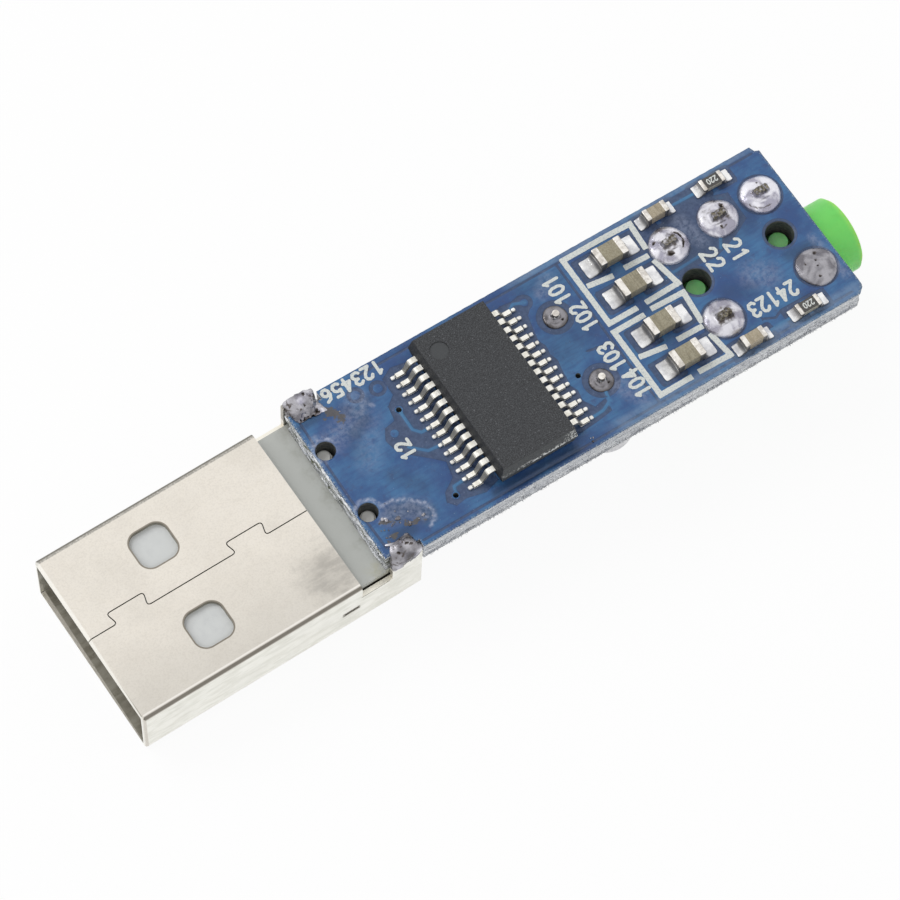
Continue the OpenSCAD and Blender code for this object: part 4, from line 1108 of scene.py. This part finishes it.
# Clusters of burnt flux and solder crumbs: place, spread, count and size
CRUMBS = [
    (-9.68, -3.22, 0.09, 3, 0.26), (-8.98, -3.62, 0.05, 2, 0.22), (-8.49, -4.18, 0.09, 3, 0.16),
    (-7.52, -4.27, 0.06, 2, 0.18), (-9.9, -3.75, 0.3, 6, 0.1), (-8.7, -3.6, 0.4, 6, 0.09),
    (-7.6, -4.3, 0.25, 3, 0.1), (-10.06, -4.13, 0.12, 2, 0.12), (-8.3, 3.5, 0.2, 3, 0.09),
    (3.6, -5.4, 0.14, 3, 0.11),
]


def build_crumbs():
    crumbs = Shape()
    for x, y, spread, count, large in CRUMBS:
        for k in range(count):
            size = large * random.uniform(0.7, 1.1)
            points, faces = rounded_box((size, size * random.uniform(0.6, 1.0), size * 0.5), size * 0.2, 2)
            turn = Matrix.Rotation(random.uniform(0, math.tau), 3, "Z")
            at = Vector((random.gauss(x, spread), random.gauss(y, spread), size * 0.16))
            crumbs.add([turn @ (p * (1 + ruffle(p, size * 0.6, 0.5, k))) + at for p in points], faces,
                       0, soot=random.choice((0.0, 0.0, 0.35, 0.6)), dull=random.uniform(0.3, 1.0))
    crumbs.piece("solder_crumbs", [SOLDER], "solder")


LEAD_TIP, LEAD_PITCH, LEADS = 4.075, 0.65, 14


def build_toes():
    """Solder of the chip's leads: a thin pad under each foot and a round bead past its tip."""
    toes = Shape()
    for side in (-1, 1):
        for i in range(LEADS):
            y = (i - (LEADS - 1) / 2) * LEAD_PITCH
            points, faces = rounded_box((0.66, 0.3, 0.05), 0.012, 2)
            toes.add([p + Vector((side * (LEAD_TIP - 0.31), y, 0.01)) for p in points], faces)
            points, faces = rounded_box((0.3, 0.25, 0.2), 0.095, 4)
            size = 1 + ruffle((side, i, 0.4), 0.7, 0.18)
            bead = Vector((side * (LEAD_TIP + 0.2), y, 0.09))
            toes.add([Vector((p.x * size, p.y, p.z)) + bead for p in points], faces)
    toes.piece("solder_chip_toes", [TOE], "solder", ["chip_solder"])


# ---------------------------------------------------------------- solder joints

def dome(name, node, spot, radius, seed, height, pin, pits, soot_r, dull=0.0, rim=0.0, cracks=()):
    """Solder joint round a pin: a low uneven button with flux and a rough nub where the pin is covered. Rim paints
    shade towards its edge.
    """
    pin_x, pin_y, pin_top = pin or (0.0, 0.0, 0.0)
    rings, spokes = 34, 64
    points, soot, nub, faces = [], [], [], []
    for i in range(rings + 1):
        q = i / rings
        for k in range(spokes):
            a = math.tau * k / spokes
            cos, sin = math.cos(a), math.sin(a)
            edge = radius * (1 + 0.02 * math.sin(3 * a + seed) + ruffle((cos, sin, seed), 0.6, 0.025))
            x, y = edge * q * cos, edge * q * sin
            button = height * (1 - q ** 2.6) ** 0.62
            swell = ruffle((x, y, seed), 0.7, 0.08, 1) + ruffle((x, y, seed), 0.25, 0.02, 2)
            # Distance from the pin's outline
            away = math.hypot(max(0, abs(x) - pin_x / 2), max(0, abs(y) - pin_y / 2)) if pin else 9.0
            nubbed = max(0.0, min(1.0, (0.15 - away - ruffle((x, y, seed), 0.2, 0.05, 4)) / 0.12))
            nubbed = nubbed * nubbed * (3 - 2 * nubbed)
            sink = math.exp(-((away - 0.26) / 0.12) ** 2)
            wx, wy = x + ruffle((x, y, seed), 0.12, 0.07, 7), y + ruffle((x, y, seed), 0.12, 0.07, 8)
            pit = max(math.exp(-((wx - px) ** 2 + (wy - py) ** 2) / (r * r)) for px, py, r in pits)
            for cx, cy, r, low, high, strength in cracks:
                if low < math.degrees(math.atan2(wy - cy, wx - cx)) < high:
                    pit = max(pit, strength * math.exp(-((math.hypot(wx - cx, wy - cy) - r) / 0.045) ** 2))
            z = (button + swell * (1 - q ** 4) - 0.06 * sink - 0.14 * pit) * (1 - nubbed)
            z += (pin_top + ruffle((x, y, seed), 0.16, 0.05, 6)) * nubbed
            points.append((spot[0] + x, spot[1] + y, max(z, 0.02) if i < rings else -0.02))
            smear = math.exp(-(away / (soot_r * (1 + 1.3 * noise.noise(Vector((2.2 * x, 2.2 * y, seed)))))) ** 2)
            smear *= 0.45 + 0.35 * noise.noise(Vector((5 * x, 5 * y, seed)))
            # rim adds painted shade towards the joint's edge
            soot.append(min(1.0, smear + 1.4 * pit + rim * q ** 3))
            nub.append(min(1.0, nubbed * (0.8 + noise.noise(Vector((7 * x, 7 * y, seed))))))
    for i in range(rings):
        for k in range(spokes):
            n = (k + 1) % spokes
            faces.append((i * spokes + k, (i + 1) * spokes + k, (i + 1) * spokes + n, i * spokes + n))
    shape = Shape().add(points, faces, 0, soot=soot, nub=nub, dull=dull)
    return shape.piece(name, [SOLDER], "solder", [node])


# Each jack joint: its height, the covered pin's length, width and top, its pits with their places from
# the joint's middle and their sizes, how far the soot reaches, and its cracks, which are arcs with a
# centre, radius, first and last angle and strength. The fifth joint's pin ends inside it.
JACK_JOINTS = [
    {"height": 0.5, "pin": (0.8, 0.32, 0.8), "pits": [(0.1, 0.62, 0.05)], "soot_r": 0.22,
     "cracks": [(-0.1, 0.0, 1.0, -165, -80, 0.4)]},
    {"height": 0.5, "pin": (0.8, 0.32, 0.79), "pits": [(0.55, 0.5, 0.11), (-0.25, -0.72, 0.08)], "soot_r": 0.42,
     "dull": 0.12, "cracks": [(-0.2, -0.3, 0.55, -110, -60, 0.4)]},
    {"height": 0.52, "pin": (0.8, 0.32, 0.83), "soot_r": 0.46, "dull": 0.05,
     "pits": [(-0.35, -0.66, 0.14), (-0.2, -0.72, 0.09), (-0.8, 0.5, 0.1)],
     "cracks": [(0.15, -0.05, 0.72, -60, 45, 0.8)]},
    {"height": 0.48, "pin": (0.8, 0.32, 0.78), "pits": [(0.3, 0.3, 0.1), (0.2, -0.16, 0.12)], "soot_r": 0.4,
     "dull": 0.2},
    {"height": 0.36, "pin": None, "soot_r": 0.1, "dull": 0.8,
     "pits": [(0.1, 0.3, 0.07), (0.0, -0.1, 0.06), (-0.28, -0.72, 0.06), (0.35, 0.75, 0.1), (-0.6, 0.4, 0.06)]},
]
CRYSTAL_JOINT = {"height": 0.22, "pin": (0.26, 0.24, 0.4), "pits": [(0.3, -0.38, 0.05)], "soot_r": 0.16,
                 "dull": 1.0, "rim": 0.5}


def build_joints():
    for k, (spot, joint) in enumerate(zip(JACK_PINS, JACK_JOINTS)):
        dome(f"solder_jack_{k + 1}", f"jack_joint_{k + 1}", spot, 1.3, 1.7 * k, **joint)
    for k, spot in enumerate(CRYSTAL_PINS):
        dome(f"solder_crystal_{k + 1}", f"crystal_joint_{k + 1}", spot, 0.78, 2.9 + k, **CRYSTAL_JOINT)


def lump(name, groups, node, seed, dull, holes, bright):
    """Solder over a shell tab: melted wedges between rounded corners, then pitted, with dark veins
    and specks, and clean metal at the bright spots."""
    bm = bmesh.new()
    for corners in groups:
        wedge = bmesh.new()
        for x, y, z, r in corners:
            place = Matrix.Translation(in_frame((x, y, z)))
            bmesh.ops.create_icosphere(wedge, subdivisions=2, radius=r * MM, matrix=place)
        hull = bmesh.ops.convex_hull(wedge, input=wedge.verts)
        buried = [v for v in hull["geom_interior"] if isinstance(v, bmesh.types.BMVert)]
        bmesh.ops.delete(wedge, geom=buried, context="VERTS")
        mesh = bpy.data.meshes.new(name + "_wedge")
        wedge.to_mesh(mesh)
        wedge.free()
        bm.from_mesh(mesh)
    mesh = bpy.data.meshes.new(name)
    bm.to_mesh(mesh)
    bm.free()
    obj = bpy.data.objects.new(name + "_melt", mesh)
    bpy.context.scene.collection.objects.link(obj)
    melt = obj.modifiers.new("melt", "REMESH")
    melt.mode, melt.voxel_size = "VOXEL", 0.04 * MM
    melted = bpy.data.meshes.new_from_object(obj.evaluated_get(bpy.context.evaluated_depsgraph_get()))
    bpy.data.objects.remove(obj)
    soot, worn = [], []
    for v in melted.vertices:
        p = (v.co - ORIGIN) / MM
        warped = p + 0.09 * Vector(noise.noise_vector(p / 0.15))
        pit = max(math.exp(-(warped - Vector(c)).length_squared / (r * r)) for *c, r in holes)
        rough = ruffle(p, 0.9, 0.09, seed) + ruffle(p, 0.35, 0.05, seed) + ruffle(p, 0.13, 0.035, seed)
        v.co += v.normal * MM * (rough - 0.12 * pit)
        v.co.y = max(min(v.co.y, cad_high.y), cad_low.y)
        vein = max(0.0, 1 - 3.6 * abs(noise.noise(p / 0.5) + 0.45 * noise.noise(p / 0.17)))
        vein *= max(0.0, 0.45 + 1.2 * noise.noise(p / 0.8))
        speck = max(0.0, 1.6 * noise.noise(p / 0.22) - 0.8)
        glow = max(math.exp(-(warped - Vector(c)).length_squared / (r * r)) for *c, r in bright)
        soot.append(max(0.0, min(1.0, 1.5 * pit + 0.8 * vein + speck) - glow))
        worn.append(max(0.0, dull * (1 + 0.7 * noise.noise(p / 0.6)) - glow))
    melted.attributes.new("soot", "FLOAT", "POINT").data.foreach_set("value", soot)
    melted.attributes.new("dull", "FLOAT", "POINT").data.foreach_set("value", worn)
    melted.materials.clear()
    return seat_piece(name, melted, [SOLDER], [node])


def build_lumps():
    """Each corner of a lump is its place and radius, and each hole and bright spot the same."""
    lump("solder_tab_far", [
        [(-10.7, 5.9, 0.5, 0.24), (-9.95, 5.94, 0.64, 0.24), (-9.42, 5.92, 0.66, 0.2), (-10.6, 5.85, -1.2, 0.2),
         (-9.4, 5.85, -1.2, 0.2), (-9.0, 5.92, 0.42, 0.15), (-8.9, 5.9, 0.1, 0.12), (-10.45, 4.8, 0.02, 0.14),
         (-9.4, 4.7, 0.06, 0.14), (-10.35, 5.2, 0.36, 0.2), (-9.5, 5.2, 0.42, 0.2)],
        [(-9.5, 4.66, 0.04, 0.12), (-8.72, 4.58, 0.0, 0.06), (-9.0, 5.2, 0.06, 0.1), (-9.5, 5.3, 0.3, 0.14),
         (-8.98, 5.62, -0.1, 0.08)]
    ], "tab_solder_far", 1.3, 0.72, [
        (-9.55, 5.85, 0.85, 0.08), (-9.8, 5.3, 0.62, 0.06), (-10.3, 5.3, 0.55, 0.07), (-10.0, 4.9, 0.25, 0.07),
        (-9.25, 4.72, 0.14, 0.12), (-9.6, 5.15, 0.5, 0.06), (-10.4, 4.72, 0.12, 0.08), (-9.9, 4.66, 0.14, 0.1),
        (-10.15, 4.7, 0.12, 0.08), (-9.6, 4.62, 0.1, 0.08), (-10.75, 5.75, 0.3, 0.14)
    ], [(-9.0, 4.62, 0.08, 0.16), (-9.9, 5.6, 0.8, 0.22)])
    lump("solder_tab_near", [
        [(-10.5, -5.82, -0.85, 0.24), (-8.88, -5.76, -0.16, 0.24), (-10.4, -5.3, -0.5, 0.2),
         (-10.4, -5.6, -1.3, 0.2), (-9.1, -5.6, -1.3, 0.2), (-10.2, -4.95, 0.02, 0.14), (-10.4, -5.3, -0.02, 0.15),
         (-9.05, -4.8, 0.04, 0.14), (-9.8, -5.2, 0.22, 0.16), (-9.15, -5.2, 0.24, 0.18)]
    ], "tab_solder_near", 4.1, 0.88, [
        (-9.6, -5.1, 0.4, 0.05), (-9.9, -5.35, 0.3, 0.07), (-9.25, -5.5, 0.3, 0.09), (-10.1, -5.1, 0.2, 0.05),
        (-9.45, -5.35, 0.36, 0.08), (-10.15, -5.5, 0.05, 0.07)
    ], [(-10.4, -6.0, -0.9, 0.3), (-8.85, -6.0, -0.2, 0.26), (-9.7, -5.0, 0.36, 0.08), (-9.1, -6.05, -0.4, 0.2)])
    # A drawn-out tip, bright at its point, where the iron left
    point, root = Vector((-10.52, -4.66, 0.05)), Vector((-9.9, -4.98, 0.1))
    along = root - point
    across = Vector((-along.y, along.x, 0)).normalized()
    points, faces = rounded_box((1.0, 1.0, 1.0), 0.3, 3)
    shares = [p.x + 0.5 for p in points]
    horn = [point + along * u + across * p.y * (0.1 + 0.2 * u) + Vector((0, 0, p.z * (0.08 + 0.16 * u)))
            for p, u in zip(points, shares)]
    tip = Shape().add(horn, faces, 0, soot=0.0, dull=[min(1.0, max(0.0, 3.5 * u - 0.6)) for u in shares])
    tip.piece("solder_tab_near_tip", [SOLDER], "solder")


# ---------------------------------------------------------------- carried-over nodes

def dress(stem, material):
    for name, obj in nodes.items():
        if name.startswith(stem):
            obj.data.materials.clear()
            obj.data.materials.append(material)


def dress_frame():
    for stem, material in (
        ("usb_shell", STEEL), ("usb_insulator", INSERT), ("usb_contact", GOLD), ("contact_solder", SOLDER),
        ("jack_housing", JACK), ("jack_terminal", END), ("chip_body", CHIP), ("chip_leads", LEAD),
        ("crystal_can", CAN), ("crystal_base", CAN), ("crystal_lead", END),
    ):
        dress(stem, material)


# ---------------------------------------------------------------- room, lamps and camera

def seen_rays(tree):
    """1 for the rays of the camera, of mirrors and of glass, which all see the pale room."""
    rays = tree.nodes.new("ShaderNodeLightPath").outputs
    share = rays["Is Camera Ray"]
    for key in ("Is Glossy Ray", "Is Transmission Ray"):
        either = tree.nodes.new("ShaderNodeMath")
        either.operation = "MAXIMUM"
        tree.links.new(share, either.inputs[0])
        tree.links.new(rays[key], either.inputs[1])
        share = either.outputs[0]
    return share


def build_floor():
    """The part leans on the plug's lower edge and the jack's rear edge, so the floor passes through both."""
    shell_low, jack_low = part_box("usb_shell")[0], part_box("jack_housing")[0]
    run, rise = jack_low.x - shell_low.x, shell_low.z - jack_low.z
    half = 2.0
    middle = Vector((jack_low.x, 0, jack_low.z))
    along, across = Vector((run, 0, -rise)).normalized(), Vector((0, 1, 0))
    mesh = bpy.data.meshes.new("floor")
    corners = [middle + along * half * a + across * half * b for a, b in ((-1, -1), (1, -1), (1, 1), (-1, 1))]
    mesh.from_pydata(corners, [], [(0, 1, 2, 3)])
    floor = bpy.data.objects.new("floor", mesh)
    bpy.context.scene.collection.objects.link(floor)
    s = Shade("floor_white", (238, 238, 238), 0.8)
    glow = s.tree.nodes.new("ShaderNodeEmission")
    glow.inputs["Strength"].default_value = 1.0
    mix = s.tree.nodes.new("ShaderNodeMixShader")
    s.put(s.math("MULTIPLY", seen_rays(s.tree), 0.93), mix.inputs[0])
    s.put(s.out.outputs[0], mix.inputs[1])
    s.put(glow.outputs[0], mix.inputs[2])
    s.put(mix.outputs[0], s.tree.nodes["Material Output"].inputs["Surface"])
    mesh.materials.append(s.material)


def build_world():
    world = bpy.data.worlds.new("studio")
    bpy.context.scene.world = world
    world.use_nodes = True
    tree = world.node_tree
    back = tree.nodes["Background"]
    back.inputs["Color"].default_value = (1, 1, 1, 1)
    level = tree.nodes.new("ShaderNodeMapRange")
    level.inputs["To Min"].default_value = 0.6
    level.inputs["To Max"].default_value = 1.0
    tree.links.new(seen_rays(tree), level.inputs["Value"])
    tree.links.new(level.outputs["Result"], back.inputs["Strength"])


def lamp(name, direction, distance, size, watts, in_metal=True):
    data = bpy.data.lights.new(name, "AREA")
    data.shape, data.size, data.energy = "DISK", size, watts
    obj = bpy.data.objects.new(name, data)
    bpy.context.scene.collection.objects.link(obj)
    way = Vector(direction).normalized()
    obj.location = ORIGIN + way * distance
    obj.rotation_euler = way.to_track_quat("Z", "Y").to_euler()
    obj.visible_glossy = in_metal


def build_camera():
    """Camera fitted to the photograph, in board space."""
    at = Vector((-63.87, -82.44, 213.47))
    right = Vector((0.83877, -0.54370, 0.02935)).normalized()
    up = Vector((0.48166, 0.76604, 0.42565))
    back = right.cross(up).normalized()
    up = back.cross(right)
    data = bpy.data.cameras.new("camera")
    data.sensor_width, data.lens = 36.0, 160.18
    data.clip_start, data.clip_end = 0.01, 50
    camera = bpy.data.objects.new("camera", data)
    bpy.context.scene.collection.objects.link(camera)
    camera.matrix_world = Matrix.Translation(in_frame(at)) @ Matrix((right, up, back)).transposed().to_4x4()
    bpy.context.scene.camera = camera


build_camera()
build_floor()
build_world()
lamp("key", (-0.35, 0.95, 1.25), 0.5, 0.3, 0.95, in_metal=False)
lamp("fill", (-0.3, -0.6, 0.9), 0.55, 0.5, 0.5, in_metal=False)
lamp("glint", (-0.75, 0.75, 0.6), 0.5, 0.12, 0.25)
dress_frame()
build_board()
build_legend()
build_small_parts()
build_toes()
build_crumbs()
build_joints()
build_lumps()

bpy.context.scene.view_settings.view_transform = "Standard"
